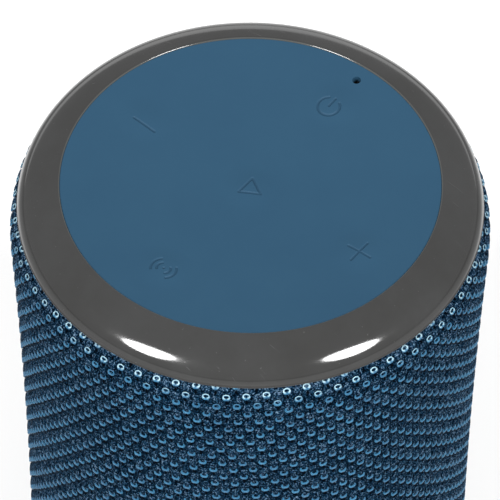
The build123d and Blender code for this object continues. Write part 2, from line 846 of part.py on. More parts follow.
def port_flap():
    """Rubber flap, round along its lower edge where it turns, with a plug that seals the socket."""
    high = port_height + flap_size[1] / 2
    inside, outside = hinge_y - flap_thickness / 2, hinge_y + flap_thickness / 2
    plate = port_prism(flap_size, recess_corner - flap_clearance, inside, outside)
    barrel = lying_bar(flap_thickness / 2, flap_size[0], hinge_y, hinge_z)
    above = block(flap_size[0], flap_thickness, high - hinge_z, y=hinge_y, bottom=hinge_z)
    plate = plate & (above + barrel)
    return plate + port_prism(seal_size, round_end(seal_size), inside - seal_depth, hinge_y)


def port_board():
    return port_prism(port_board_size, 0, port_board_front - port_board_thickness, port_board_front)


def charging_socket():
    back = port_board_front
    mouth = back + socket_length
    shell = port_prism(socket_size, round_end(socket_size), back, mouth)
    inner = tuple(side - 2 * socket_wall for side in socket_size)
    shell -= port_prism(inner, round_end(inner), back + socket_floor, mouth)
    tongue_size = (inner[0] - 2 * tongue_side_gap, tongue_thickness)
    return shell + port_prism(tongue_size, 0, back + socket_floor / 2, mouth - tongue_setback)


# ---------------------------------------------------------------- battery and main board
def lying_bar(radius, length, y, z):
    return Pos(0, y, z) * Rot(0, 90, 0) * Cylinder(radius, length)


def battery_cells():
    half = cell_spacing / 2
    return Compound([lying_bar(cell_radius, cell_length, side * half, cell_height) for side in (-1, 1)])


def battery_holder():
    holder = block(*holder_size, cell_height - holder_bottom, bottom=holder_bottom)
    for side in (-1, 1):
        y = side * cell_spacing / 2
        holder -= lying_bar(cell_radius + cell_clearance, cell_length + 2 * cell_clearance, y, cell_height)
    return holder


def main_board():
    outline = RectangleRounded(main_board_side, main_board_side, main_board_corner)
    board = slab(outline, main_board_height, main_board_top)
    for x, y in corners(main_standoff_offset):
        board -= upright(small_hole_radius, main_board_height, main_board_top, x, y)
    return board


def board_components():
    """The amplifier, the radio module in its can, two coils, two capacitors and a ribbon connector."""
    top, under = main_board_top, main_board_height
    pieces = [
        block(9, 9, 1.2, x=-10, y=-8, bottom=top),
        block(14, 11, 2.2, x=10, y=9, bottom=top),
        block(7, 5, 1.0, x=-10, y=10, bottom=top),
        upright(3.6, top, top + 4, 6, -11),
        upright(3.6, top, top + 4, 15, -11),
        upright(3.0, under - 4.5, under, -8, 17),
        upright(3.0, under - 4.5, under, 8, -17),
    ]
    connector = block(3, ribbon_width + 2, 1.4, x=connector_radius, bottom=under - 1.4)
    return Compound(pieces + [Rot(0, 0, ribbon_angle) * connector])


def ribbon_cable():
    """Flat cable from the key board, down outside one corner of the enclosure, to the main board."""
    start_z = key_board_bottom - ribbon_thickness / 2
    end_z = ribbon_slot_z
    route = FilletPolyline(
        (fixing_circle_radius, start_z),
        (ribbon_run_radius - 1.5, start_z),
        (ribbon_run_radius, start_z - 3),
        (ribbon_run_radius, end_z),
        (ribbon_end_radius, end_z),
        radius=ribbon_bend,
    )
    strip = extrude(Plane.XZ * trace(route, ribbon_thickness), ribbon_width / 2, both=True)
    return Rot(0, 0, ribbon_angle) * strip


# ---------------------------------------------------------------- foot end
def base_plate():
    top = base_plate_bottom + base_plate_thickness
    plate = upright(skirt_inner_radius - plate_clearance, base_plate_bottom + touch_gap, top)
    spigot_top = enclosure_bottom + base_spigot
    plate += slab(tube_section(enclosure_wall + plate_clearance), top, spigot_top)
    plate -= slab(tube_section(2 * enclosure_wall), top, spigot_top)
    for x, y in corners(boss_offset):
        plate -= upright(boss_radius + 2 * plate_clearance, top, spigot_top, x, y)
        plate -= upright(case_hole_radius, base_plate_bottom, top, x, y)
        plate -= upright(case_head_hole_radius, base_plate_bottom, base_screw_z, x, y)
    return plate


def bottom_ring():
    lip = (ring_radius, bottom_ring_top - lip_height)
    rest = Polyline(
        lip,
        (ring_radius, bottom_ring_top),
        (skirt_outer_radius, bottom_ring_top),
        (skirt_outer_radius, bottom_ring_top + bottom_skirt_height),
        (skirt_inner_radius, bottom_ring_top + bottom_skirt_height),
        (skirt_inner_radius, base_plate_bottom),
        (bottom_ring_inner_radius, base_plate_bottom),
        (bottom_ring_inner_radius, bottom_ring_bottom),
        (bottom_ring_foot_radius, bottom_ring_bottom),
    )
    return turned(ring_face((bottom_ring_foot_radius, bottom_ring_bottom), lip), rest)


def foot_pad():
    pad = turned_outline(
        (0, 0),
        (foot_radius - foot_chamfer, 0),
        (foot_radius, foot_chamfer),
        (foot_radius, foot_thickness),
        (0, foot_thickness),
    )
    for k in range(foot_grooves):
        outer = foot_radius * (k + 1) / (foot_grooves + 1)
        groove = upright(outer, 0, foot_groove_depth)
        pad -= groove - upright(outer - foot_groove_width, 0, foot_groove_depth)
    return pad


# ---------------------------------------------------------------- all pieces, by node name
def build():
    pieces = {
        "top_ring": top_ring(),
        "keypad_skin": keypad_skin(),
        "deck_plate": deck_plate(),
        "snap_domes": snap_domes(),
        "key_board": key_board(),
        "microphone": microphone(),
        "microphone_boot": microphone_boot(),
        "case_screws": case_screws(),
        "board_screws": board_screws(),
        "enclosure_body": enclosure_body(),
        "enclosure_lid": enclosure_lid(),
        "lid_gasket": lid_gasket(),
        "driver_gaskets": driver_gaskets(),
        "driver_screws": driver_screws(),
        "grille_frame": grille_frame(),
        "fabric_sleeve": fabric_sleeve(),
        "port_bezel": port_bezel(),
        "port_flap": port_flap(),
        "port_board": port_board(),
        "charging_socket": charging_socket(),
        "battery_cells": battery_cells(),
        "battery_holder": battery_holder(),
        "main_board": main_board(),
        "board_components": board_components(),
        "ribbon_cable": ribbon_cable(),
        "base_plate": base_plate(),
        "bottom_ring": bottom_ring(),
        "foot_pad": foot_pad(),
    }
    for name in keys:
        pieces[f"{name}_key_pad"] = key_pad(name)
        pieces[f"{name}_key_plunger"] = key_plunger(name)
    driver_pieces = {
        "basket": basket(),
        "top_plate": top_plate(),
        "magnet": magnet(),
        "yoke": yoke(),
        "cone": cone(),
        "surround": surround(cone_edge_radius),
        "spider": spider(),
    }
    radiator_pieces = {
        "frame": radiator_frame(),
        "diaphragm": radiator_diaphragm(),
        "surround": surround(diaphragm_radius),
    }
    for side in ("front", "rear"):
        for name, shape in driver_pieces.items():
            pieces[f"{side}_driver_{name}"] = placed(shape, driver_angles[side])
    for side in ("left", "right"):
        for name, shape in radiator_pieces.items():
            pieces[f"{side}_radiator_{name}"] = placed(shape, driver_angles[side])
    return pieces


os.makedirs("parts", exist_ok=True)
for node, shape in build().items():
    export_step(shape, f"parts/{node}.step")
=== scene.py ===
import json
import math

import bmesh
import bpy
from mathutils import Euler, Matrix, Vector
from mathutils.geometry import delaunay_2d_cdt


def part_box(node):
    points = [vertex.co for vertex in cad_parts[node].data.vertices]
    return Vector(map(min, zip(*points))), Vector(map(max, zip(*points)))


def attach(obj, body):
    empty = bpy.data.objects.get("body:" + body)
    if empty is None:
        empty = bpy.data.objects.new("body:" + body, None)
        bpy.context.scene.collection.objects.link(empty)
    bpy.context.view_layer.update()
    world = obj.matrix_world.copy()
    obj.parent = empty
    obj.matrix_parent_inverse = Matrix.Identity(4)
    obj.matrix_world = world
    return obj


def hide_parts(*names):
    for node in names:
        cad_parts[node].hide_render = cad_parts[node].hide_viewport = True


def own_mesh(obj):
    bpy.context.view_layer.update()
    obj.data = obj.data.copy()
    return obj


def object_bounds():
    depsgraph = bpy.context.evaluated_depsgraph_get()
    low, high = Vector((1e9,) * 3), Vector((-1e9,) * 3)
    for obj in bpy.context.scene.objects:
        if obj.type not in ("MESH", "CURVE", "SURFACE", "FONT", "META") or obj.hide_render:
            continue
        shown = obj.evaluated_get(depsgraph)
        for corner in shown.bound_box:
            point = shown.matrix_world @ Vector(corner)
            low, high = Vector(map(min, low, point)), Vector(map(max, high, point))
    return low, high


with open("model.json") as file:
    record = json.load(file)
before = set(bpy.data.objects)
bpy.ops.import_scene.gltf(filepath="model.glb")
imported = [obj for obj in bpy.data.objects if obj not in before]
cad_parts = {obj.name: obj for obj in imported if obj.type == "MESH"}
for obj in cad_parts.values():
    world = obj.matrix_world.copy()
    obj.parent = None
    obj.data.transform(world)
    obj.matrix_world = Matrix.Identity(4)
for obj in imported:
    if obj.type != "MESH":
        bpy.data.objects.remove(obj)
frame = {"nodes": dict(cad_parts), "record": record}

mm = 0.001
cadLow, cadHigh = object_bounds()
speakerTop = cadHigh.z
sleeveLow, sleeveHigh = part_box("fabric_sleeve")
ringHigh, skinHigh = (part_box(name)[1] for name in ("top_ring", "keypad_skin"))
footRingLow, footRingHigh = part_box("bottom_ring")


# where the camera stands: how far round, how high and how far off
cameraSetup = {
    "azimuth": 38.14,       # degrees round from the front, towards the plus key
    "elevation": 50.29,
    "distance": 0.66,       # from the middle of the top, in metres
    "lens": 263.8,
    "tiltDown": 1.09,       # the top sits above the middle of the picture
    "roll": 0.5,
}


def makeCamera(setup):
    data = bpy.data.cameras.new("studioCamera")
    camera = bpy.data.objects.new("studioCamera", data)
    bpy.context.scene.collection.objects.link(camera)
    around, up = math.radians(setup["azimuth"]), math.radians(setup["elevation"])
    back = Vector((math.sin(around) * math.cos(up), -math.cos(around) * math.cos(up), math.sin(up)))
    level = (-back).to_track_quat("-Z", "Y").to_matrix()
    tilt = Euler((math.radians(-setup["tiltDown"]), 0, 0)).to_matrix()
    roll = Euler((0, 0, math.radians(setup["roll"]))).to_matrix()
    camera.matrix_world = Matrix.Translation(Vector((0, 0, speakerTop)) + back * setup["distance"]) @ (
        level @ tilt @ roll
    ).to_4x4()
    data.lens = setup["lens"]
    data.sensor_width = 36
    data.clip_start, data.clip_end = 0.01, 20
    bpy.context.scene.camera = camera


makeCamera(cameraSetup)
print("camera placed")


# node trees
class Socket:
    # an output of a node; arithmetic on it adds Math nodes to the same tree
    def __init__(self, tree, output):
        self.tree = tree
        self.output = output

    def math(self, operation, *others):
        return mathNode(self.tree, operation, self, *others)

    def __add__(self, other):
        return self.math("ADD", other)

    __radd__ = __add__

    def __sub__(self, other):
        return self.math("SUBTRACT", other)

    def __rsub__(self, other):
        return mathNode(self.tree, "SUBTRACT", other, self)

    def __mul__(self, other):
        return self.math("MULTIPLY", other)

    __rmul__ = __mul__

    def __truediv__(self, other):
        return self.math("DIVIDE", other)

    def __rtruediv__(self, other):
        return mathNode(self.tree, "DIVIDE", other, self)


def mathNode(tree, operation, *values):
    return addNode(tree, "ShaderNodeMath", {"operation": operation}, dict(enumerate(values)))


def addNode(tree, kind, settings=None, inputs=None, output=0):
    # one way to make any node: its settings first, then the values or links of its sockets
    node = tree.nodes.new(kind)
    for name, value in (settings or {}).items():
        if name == "stops":
            setStops(node.color_ramp, value)
        else:
            setattr(node, name, value)
    for name, value in (inputs or {}).items():
        setInput(tree, node.inputs[name], value)
    return Socket(tree, node.outputs[output])


def setInput(tree, target, value):
    if isinstance(value, Socket):
        tree.links.new(value.output, target)
    else:
        target.default_value = value


def setStops(ramp, stops):
    while len(ramp.elements) > 1:
        ramp.elements.remove(ramp.elements[-1])
    ramp.elements[0].position, ramp.elements[0].color = stops[0][0], (*stops[0][1], 1)
    for place, colour in stops[1:]:
        ramp.elements.new(place).color = (*colour, 1)


def mixColour(tree, factor, first, second, blend="MIX"):
    def full(colour):
        return colour if isinstance(colour, Socket) else (*colour, 1)

    inputs = {0: factor, 6: full(first), 7: full(second)}
    return addNode(tree, "ShaderNodeMix", {"data_type": "RGBA", "blend_type": blend}, inputs, 2)


def separated(tree, vector, axis):
    return addNode(tree, "ShaderNodeSeparateXYZ", {}, {0: vector}, axis)


# materials
def newPaint(name, fixed):
    # a material with one Principled shader; fixed values go straight on its own sockets
    material = bpy.data.materials.new(name)
    material.use_nodes = True
    tree = material.node_tree
    shader = tree.nodes["Principled BSDF"]
    for socket, value in fixed.items():
        shader.inputs[socket].default_value = value
    return material, tree, shader


def feed(shader, socket, value):
    value.tree.links.new(value.output, shader.inputs[socket])


def objectPlace(tree, scale=(1, 1, 1), turn=(0, 0, 0)):
    place = addNode(tree, "ShaderNodeTexCoord", output=3)
    return addNode(tree, "ShaderNodeMapping", {}, {"Vector": place, "Scale": scale, "Rotation": turn})


def grain(tree, place, scale, detail=3.0, roughness=0.6):
    inputs = {"Vector": place, "Scale": scale, "Detail": detail, "Roughness": roughness}
    return addNode(tree, "ShaderNodeTexNoise", {}, inputs)


def band(tree, value, low, high, toLow=0.0, toHigh=1.0):
    inputs = {"Value": value, "From Min": low, "From Max": high, "To Min": toLow, "To Max": toHigh}
    return addNode(tree, "ShaderNodeMapRange", {}, inputs)


def bump(tree, shader, height, depth):
    feed(shader, "Normal", addNode(tree, "ShaderNodeBump", {}, {"Height": height, "Distance": depth}))


siliconeLook = {
    "colour": (0.0105, 0.0405, 0.075),
    "paler": (0.0135, 0.047, 0.083),
    # painted shade: the darker colour in the symbols' grooves
    "groove": (0.0085, 0.034, 0.064),
    "roughness": (0.55, 0.7),
    "cloudScale": 60,
    "dustScale": 750,
    "grainScale": 9000,
    "grainDepth": 0.012 * mm,
    "paleShare": (0.55, 0.25),      # how far the clouds and the dust pale the colour
}


def siliconePaint(look):
    material, tree, shader = newPaint("blueSilicone", {"Specular IOR Level": 0.2})
    place = objectPlace(tree)
    grooveShadeMask = addNode(tree, "ShaderNodeAttribute", {"attribute_name": "groove"}, {}, 2)
    clouds = band(tree, grain(tree, place, look["cloudScale"], 4), 0.3, 0.7)
    dust = band(tree, grain(tree, place, look["dustScale"], 5, 0.75), 0.6, 0.78)
    fromClouds, fromDust = look["paleShare"]
    colour = mixColour(tree, clouds * fromClouds + dust * fromDust, look["colour"], look["paler"])
    # painted shade: the symbols' grooves are coloured darker
    colour = mixColour(tree, grooveShadeMask, colour, look["groove"])
    feed(shader, "Base Color", colour)
    low, high = look["roughness"]
    feed(shader, "Roughness", band(tree, clouds + dust, 0, 2, high, low))
    bump(tree, shader, grain(tree, place, look["grainScale"], 2), look["grainDepth"])
    return material


ringLook = {
    "colour": (0.0196, 0.0196, 0.0192),
    "paler": (0.0285, 0.0292, 0.0295),
    "edgeHighlight": (0.052, 0.054, 0.052),  # painted highlight: the thin pale line where the ring meets the keypad
    "edgeRadius": skinHigh.x + 0.18 * mm,
    "edgeFade": (0.12 * mm, -0.05 * mm),
    "roughness": (0.085, 0.16),
    "scratches": ((0.5, 26), (1.9, 40), (2.7, 33)),     # each set's direction and how short its lines are
    "scratchFineness": (2600, 500),
    "scratchDepth": 0.004 * mm,
    "smearScale": 55,
    "speckScale": 1400,
    # what smears, scratches and specks add to the paling and to the roughness
    "wear": (0.6, 0.8, 0.6),
    "roughWear": (0.2, 0.3),
}


def glossPaint(look):
    # polished grey plastic with hairline scratches and faint smears
    fixed = {"Specular IOR Level": 0.45, "Coat Weight": 0.25, "Coat Roughness": 0.04}
    material, tree, shader = newPaint("glossGreyPlastic", fixed)
    place = objectPlace(tree)
    smears = band(tree, grain(tree, place, look["smearScale"], 5, 0.65), 0.35, 0.7)
    scratches = None
    for turn, length in look["scratches"]:
        stretched = objectPlace(tree, (length, *look["scratchFineness"]), (0, 0, turn))
        lines = band(tree, grain(tree, stretched, 1, 2, 0.5), 0.70, 0.735)
        where = band(tree, grain(tree, place, 38 + 9 * turn, 2), 0.55, 0.66)
        marks = lines * where
        scratches = marks if scratches is None else scratches + marks
    specks = band(tree, grain(tree, place, look["speckScale"], 2, 0.5), 0.73, 0.76)
    fromSmears, fromScratches, fromSpecks = look["wear"]
    worn = smears * fromSmears + scratches * fromScratches + specks * fromSpecks
    colour = mixColour(tree, worn, look["colour"], look["paler"])
    level = addNode(tree, "ShaderNodeVectorMath", {"operation": "MULTIPLY"}, {0: place, 1: (1, 1, 0)})
    fromAxis = addNode(tree, "ShaderNodeVectorMath", {"operation": "LENGTH"}, {0: level}, 1)
    edge = band(tree, fromAxis, *(look["edgeRadius"] + fade for fade in look["edgeFade"]))
    # painted highlight along the ring's inner edge, made patchy by the smears
    colour = mixColour(tree, edge * (0.7 + 0.3 * smears), colour, look["edgeHighlight"])
    feed(shader, "Base Color", colour)
    low, high = look["roughness"]
    scratched, specked = look["roughWear"]
    rough = band(tree, smears, 0, 1, low, high) + scratches * scratched + specks * specked
    feed(shader, "Roughness", rough)
    bump(tree, shader, 0 - scratches - specks * 0.5, look["scratchDepth"])
    return material


yarnLook = {
    "blue": [(0.0, (0.002, 0.030, 0.074)), (0.5, (0.006, 0.080, 0.166)), (1.0, (0.023, 0.166, 0.290))],
    "stretched": (0.30, 0.45, 0.51),    # painted sheen: the pale colour of yarn that faces up, close under the ring
    "heather": [
        (0.0, (0.0002, 0.0008, 0.002)),
        (0.34, (0.0006, 0.0038, 0.0095)),
        (0.50, (0.0018, 0.0125, 0.0280)),
        (0.64, (0.0050, 0.0240, 0.0490)),
        (0.78, (0.0200, 0.0500, 0.0850)),
        (1.0, (0.0900, 0.1400, 0.1950)),
    ],
    # painted shade: the black of the hole under each blue loop
    "holeShadeColour": (0.0006, 0.0015, 0.003),
    "filaments": 5,         # strands seen side by side along a loop of yarn
    "twist": (9, 2.2),      # how they wind along the loop, and how far the fuzz bends them
    "twistDepth": 0.05 * mm,
    "fuzzScale": 6500,
    "blueMix": (0.38, 0.5, 0.22),           # what ridges, fuzz and the stitch's own tone add to its shade
    "blueDarker": 0.05,
    "fleckScale": 3300,
    "heatherShade": 0.490,
    "heatherMix": (2.4, 1.8, 0.08, 0.2),    # contrast of flecks, strands, the stitch's tone and clouds
    "heatherSheen": 0.16,                   # painted sheen: how much paler the ground is where it faces up, close under the ring
    "warmTint": (0.95, 0.78, 0.95),
    # where the painted sheen starts and where it is strongest
    "sheenBand": (3.4 * mm, 2.2 * mm),     # below the sleeve's top
    "paleLoop": (0.06, 0.24),               # round a loop from its foot, as a share
}


def sheenMask(tree, place):
    # mask for painted sheen: near 1 where the knit faces up, close under the ring
    facing = separated(tree, addNode(tree, "ShaderNodeTexCoord", output=1), 2)
    start, full = yarnLook["sheenBand"]
    nearTop = band(tree, separated(tree, place, 2), sleeveHigh.z - start, sleeveHigh.z - full)
    return band(tree, facing, 0.3, 0.8) * nearTop


def blueYarnPaint(look):
    material, tree, shader = newPaint("blueYarn", {"Specular IOR Level": 0.5})
    strand = addNode(tree, "ShaderNodeUVMap", {"uv_map": "strand"})
    along, across = separated(tree, strand, 0), separated(tree, strand, 1)
    tone = addNode(tree, "ShaderNodeAttribute", {"attribute_name": "tone"}, {}, 2)
    place = objectPlace(tree)
    fuzz = grain(tree, place, look["fuzzScale"], 3, 0.7)
    winding, bend = look["twist"]
    twisted = across * (look["filaments"] * 2 * math.pi) + along * winding + fuzz * bend
    ridges = twisted.math("SINE") * 0.5 + 0.5
    fromRidges, fromFuzz, fromTone = look["blueMix"]
    shade = ridges * fromRidges + fuzz * fromFuzz + tone * fromTone - look["blueDarker"]
    colour = addNode(tree, "ShaderNodeValToRGB", {"stops": look["blue"]}, {0: shade})
    fromFoot = 0.5 - (along - 0.5).math("ABSOLUTE")
    sheenAmount = sheenMask(tree, place) * band(tree, fromFoot, *look["paleLoop"])
    # painted sheen: the blue yarn turns pale where it faces up under the ring
    colour = mixColour(tree, sheenAmount * (0.75 + 0.25 * ridges), colour, look["stretched"])
    feed(shader, "Base Color", colour)
    feed(shader, "Roughness", band(tree, fuzz, 0.3, 0.7, 0.3, 0.5))
    bump(tree, shader, ridges * 0.7 + fuzz * 0.6, look["twistDepth"])
    return material


def heatherPaint(look, name, darker=0.0):
    material, tree, shader = newPaint(name, {"Specular IOR Level": 0.04, "IOR": 1.1})
    place = objectPlace(tree)
    tone = addNode(tree, "ShaderNodeAttribute", {"attribute_name": "tone"}, {}, 2)
    flecks = grain(tree, place, look["fleckScale"], 2, 0.5)
    strands = grain(tree, objectPlace(tree, (1, 1, 0.5)), 2 * look["fleckScale"], 2, 0.6)
    clouds = grain(tree, place, 150, 2)
    ofFlecks, ofStrands, ofTone, ofClouds = look["heatherMix"]
    shade = look["heatherShade"] - darker + (flecks - 0.5) * ofFlecks + (strands - 0.5) * ofStrands
    shade = shade + (tone - 0.5) * ofTone + (clouds - 0.5) * ofClouds
    # painted sheen: the ground turns paler where it faces up under the ring
    shade = shade + sheenMask(tree, place) * look["heatherSheen"]
    colour = addNode(tree, "ShaderNodeValToRGB", {"stops": look["heather"]}, {0: shade})
    warmth = band(tree, grain(tree, place, 2100, 1), 0.45, 0.68)
    tinted = mixColour(tree, warmth * 0.5, colour, look["warmTint"], "MULTIPLY")
    # painted shade: the hole disc is painted black
    hole = separated(tree, addNode(tree, "ShaderNodeUVMap", {"uv_map": "hole"}), 0)
    tinted = mixColour(tree, hole, tinted, look["holeShadeColour"])
    feed(shader, "Base Color", tinted)
    feed(shader, "Roughness", band(tree, strands, 0.3, 0.7, 0.42, 0.7))
    bump(tree, shader, flecks * 0.5 + strands * 0.8, 1.6 * look["twistDepth"])
    return material


mouldings = {
    # each one's name, colour, paler colour, roughness, and the grain's scale and depth
    "case_plastic": ("caseBlack", (0.010, 0.011, 0.012), (0.022, 0.023, 0.025), (0.42, 0.6), 2500, 0.01 * mm),
    "key_plastic": ("keyPlastic", (0.55, 0.55, 0.52), (0.68, 0.68, 0.65), (0.35, 0.5), 2500, 0.01 * mm),
    "chips": ("chipBlack", (0.008, 0.008, 0.009), (0.02, 0.02, 0.022), (0.3, 0.45), 5000, 0.01 * mm),
    "magnet": ("ferrite", (0.022, 0.022, 0.024), (0.05, 0.05, 0.053), (0.5, 0.75), 1200, 0.03 * mm),
    "surround_rubber": (
        "surroundRubber", (0.006, 0.006, 0.007), (0.014, 0.014, 0.015), (0.5, 0.65), 4000, 0.01 * mm,
    ),
    "spider_cloth": ("spiderCloth", (0.28, 0.16, 0.06), (0.5, 0.32, 0.14), (0.7, 0.9), 1800, 0.05 * mm),
    "gasket_foam": ("gasketFoam", (0.012, 0.012, 0.013), (0.04, 0.04, 0.042), (0.8, 0.95), 3500, 0.08 * mm),
    "battery_wrap": ("batteryWrap", (0.012, 0.09, 0.13), (0.02, 0.13, 0.18), (0.2, 0.35), 600, 0.01 * mm),
    "flap_rubber": ("flapRubber", (0.010, 0.024, 0.045), (0.016, 0.034, 0.06), (0.5, 0.66), 5000, 0.01 * mm),
    "foot_rubber": ("footRubber", (0.012, 0.012, 0.013), (0.03, 0.03, 0.031), (0.6, 0.8), 3000, 0.03 * mm),
    "ribbon": ("ribbonFilm", (0.45, 0.30, 0.10), (0.6, 0.42, 0.16), (0.3, 0.42), 900, 0.01 * mm),
}


def mouldedPaint(name, colour, paler, roughness, grainScale, depth):
    # moulded plastic or rubber with a fine spark-eroded grain
    material, tree, shader = newPaint(name, {})
    place = objectPlace(tree)
    clouds = band(tree, grain(tree, place, 70, 4), 0.3, 0.7)
    pits = grain(tree, place, grainScale, 3, 0.7)
    feed(shader, "Base Color", mixColour(tree, clouds * 0.6 + pits * 0.3, colour, paler))
    feed(shader, "Roughness", band(tree, clouds + pits, 0.3, 1.6, *roughness))
    bump(tree, shader, pits, depth)
    return material


metals = {
    # each one's name, colour, paler colour, roughness, and how fine its lines are along X, Y and Z
    "steel": ("platedSteel", (0.42, 0.43, 0.45), (0.6, 0.61, 0.63), (0.22, 0.4), (40, 40, 2400)),
    "dome_steel": ("domeSteel", (0.6, 0.6, 0.61), (0.75, 0.75, 0.76), (0.12, 0.25), (40, 40, 2400)),
    "screw_steel": ("blackedSteel", (0.05, 0.05, 0.055), (0.11, 0.11, 0.12), (0.3, 0.45), (40, 40, 2400)),
    "radiator_metal": ("radiatorAlloy", (0.12, 0.125, 0.13), (0.2, 0.205, 0.21), (0.3, 0.45), (2400, 40, 40)),
}


def metalPaint(name, colour, paler, roughness, stretch):
    # turned or brushed metal, with fine lines along its making
    material, tree, shader = newPaint(name, {"Metallic": 1.0})
    lines = grain(tree, objectPlace(tree, stretch), 1, 4, 0.6)
    stains = band(tree, grain(tree, objectPlace(tree), 160, 4), 0.35, 0.7)
    feed(shader, "Base Color", mixColour(tree, lines * 0.6 + stains * 0.3, colour, paler))
    feed(shader, "Roughness", band(tree, lines + stains, 0.2, 1.5, *roughness))
    bump(tree, shader, lines, 0.006 * mm)
    return material


boardLook = {
    "mask": (0.006, 0.05, 0.022),
    "overCopper": (0.02, 0.13, 0.05),
    "trackScale": 420,
    "depth": 0.03 * mm,
}


def boardPaint(look):
    # green solder mask with copper tracks just under it
    material, tree, shader = newPaint("circuitBoard", {"Coat Weight": 0.4, "Coat Roughness": 0.15})
    tracks = addNode(
        tree,
        "ShaderNodeTexVoronoi",
        {"distance": "MANHATTAN", "feature": "F1"},
        {"Vector": objectPlace(tree), "Scale": look["trackScale"], "Randomness": 0.35},
    )
    copper = band(tree, tracks, 0.42, 0.46)
    feed(shader, "Base Color", mixColour(tree, copper, look["mask"], look["overCopper"]))
    feed(shader, "Roughness", band(tree, copper, 0, 1, 0.42, 0.3))
    bump(tree, shader, copper, look["depth"])
    return material


paperLook = {"colours": ((0.012, 0.012, 0.014), (0.05, 0.05, 0.055)), "fibreScale": 900, "depth": 0.08 * mm}


def paperPaint(look):
    # pressed fibre cone
    material, tree, shader = newPaint("conePaper", {"Specular IOR Level": 0.25})
    fibres = grain(tree, objectPlace(tree, (1, 3, 1), (0.4, 0.3, 0.2)), look["fibreScale"], 6, 0.8)
    feed(shader, "Base Color", mixColour(tree, fibres, *look["colours"]))
    feed(shader, "Roughness", band(tree, fibres, 0.3, 0.7, 0.75, 0.95))
    bump(tree, shader, fibres, look["depth"])
    return material


paints = {
    "keypad_rubber": siliconePaint(siliconeLook),
    "ring_gloss": glossPaint(ringLook),
    "knit": heatherPaint(yarnLook, "heatherYarn"),
    "circuit_board": boardPaint(boardLook),
    "cone_paper": paperPaint(paperLook),
}
paints.update((slot, mouldedPaint(*look)) for slot, look in mouldings.items())
paints.update((slot, metalPaint(*look)) for slot, look in metals.items())
blueYarn = blueYarnPaint(yarnLook)
# painted shade: the backing, seen only in the gaps between the tufts, is painted darker than them
backingPaint = heatherPaint(yarnLook, "knitBacking", 0.07)

slotOfNode = {part["node"]: part["material_slot"] for part in frame["record"]["subparts"]}
for name, part in frame["nodes"].items():
    part.data.materials.clear()
    part.data.materials.append(paints[slotOfNode[name]])
print("materials made")


# mesh helpers
def linkMesh(name, vertices, faces, material, smooth=True):
    mesh = bpy.data.meshes.new(name)
    mesh.from_pydata(vertices, [], faces)
    mesh.validate()
    mesh.materials.append(material)
    mesh.polygons.foreach_set("use_smooth", [smooth] * len(mesh.polygons))
    piece = bpy.data.objects.new(name, mesh)
    bpy.context.scene.collection.objects.link(piece)
    return piece


def settle(piece):
    # the evaluated shape becomes the piece's own plain mesh, and its modifiers go
    graph = bpy.context.evaluated_depsgraph_get()
    mesh = bpy.data.meshes.new_from_object(piece.evaluated_get(graph))
    piece.modifiers.clear()
    old = piece.data
    piece.data = mesh
    mesh.name = piece.name
    bpy.data.meshes.remove(old)


def lathe(name, outline, turns, material, sharpAngle=40):
    # turns a closed outline of (radius, height) round the speaker's axis
    vertices, faces = [], []
    count = len(outline)
    for k in range(turns):
        angle = 2 * math.pi * k / turns
        vertices += [(r * math.cos(angle), r * math.sin(angle), z) for r, z in outline]
    for k in range(turns):
        here, there = k * count, (k + 1) % turns * count
        for i in range(count):
            j = (i + 1) % count
            faces.append((here + i, there + i, there + j, here + j))
    piece = linkMesh(name, vertices, faces, material)
    repairNormals(piece)
    piece.data.set_sharp_from_angle(angle=math.radians(sharpAngle))
    return piece


def repairNormals(piece):
    shell = bmesh.new()
    shell.from_mesh(piece.data)
    bmesh.ops.remove_doubles(shell, verts=shell.verts, dist=1e-7)
    bmesh.ops.recalc_face_normals(shell, faces=shell.faces)
    shell.to_mesh(piece.data)
    shell.free()


def bezier(corners, count):
    # points along a cubic curve, both ends included
    found = []
    for k in range(count + 1):
        t = k / count
        weights = ((1 - t) ** 3, 3 * t * (1 - t) ** 2, 3 * t * t * (1 - t), t**3)
        found.append(tuple(sum(w * c[axis] for w, c in zip(weights, corners)) for axis in (0, 1)))
    return found


def arc(centre, radius, start, end, count):
    turns = [math.radians(start + (end - start) * k / count) for k in range(count + 1)]
    return [(centre[0] + radius * math.cos(t), centre[1] + radius * math.sin(t)) for t in turns]


# glossy rings
ringShape = {
    "crest": skinHigh.x + 0.03 * mm,    # inner edge, just outside the keypad
    "lip": ringHigh.x,
    "drop": 5.5 * mm,
    "lipHeight": 0.35 * mm,
    "crown": (0.5, 0.22),
    "shoulder": (0.08, 0.62),
    "innerFillet": 0.28 * mm,
    "bead": 0.2 * mm,                   # small rolled edge along the outer lip
    "skirt": (3.2 * mm, 7.0 * mm),      # the hidden inside: in from the lip, and below the crest
    "innerDepth": 5.0 * mm,
    "turns": 256,
    "steps": 28,
}
footRingShape = {
    "opening": 36.4 * mm,
    "land": 0.6 * mm,                   # flat underside outside the opening
    "innerFillet": 0.56 * mm,
    "skirt": (3.2 * mm, 4.4 * mm),      # the hidden upstand lies this far in from the outer edge
    "skirtHeight": 4.0 * mm,
    "floor": 1.2 * mm,
}


def ringFace(inner, outer, shape):
    width, drop = outer[0] - inner[0], outer[1] - inner[1]
    crown = (inner[0] + shape["crown"][0] * width, inner[1] + shape["crown"][1] * drop)
    shoulder = (outer[0] - shape["shoulder"][0] * width, outer[1] - shape["shoulder"][1] * drop)
    return bezier((inner, crown, shoulder, outer), shape["steps"])


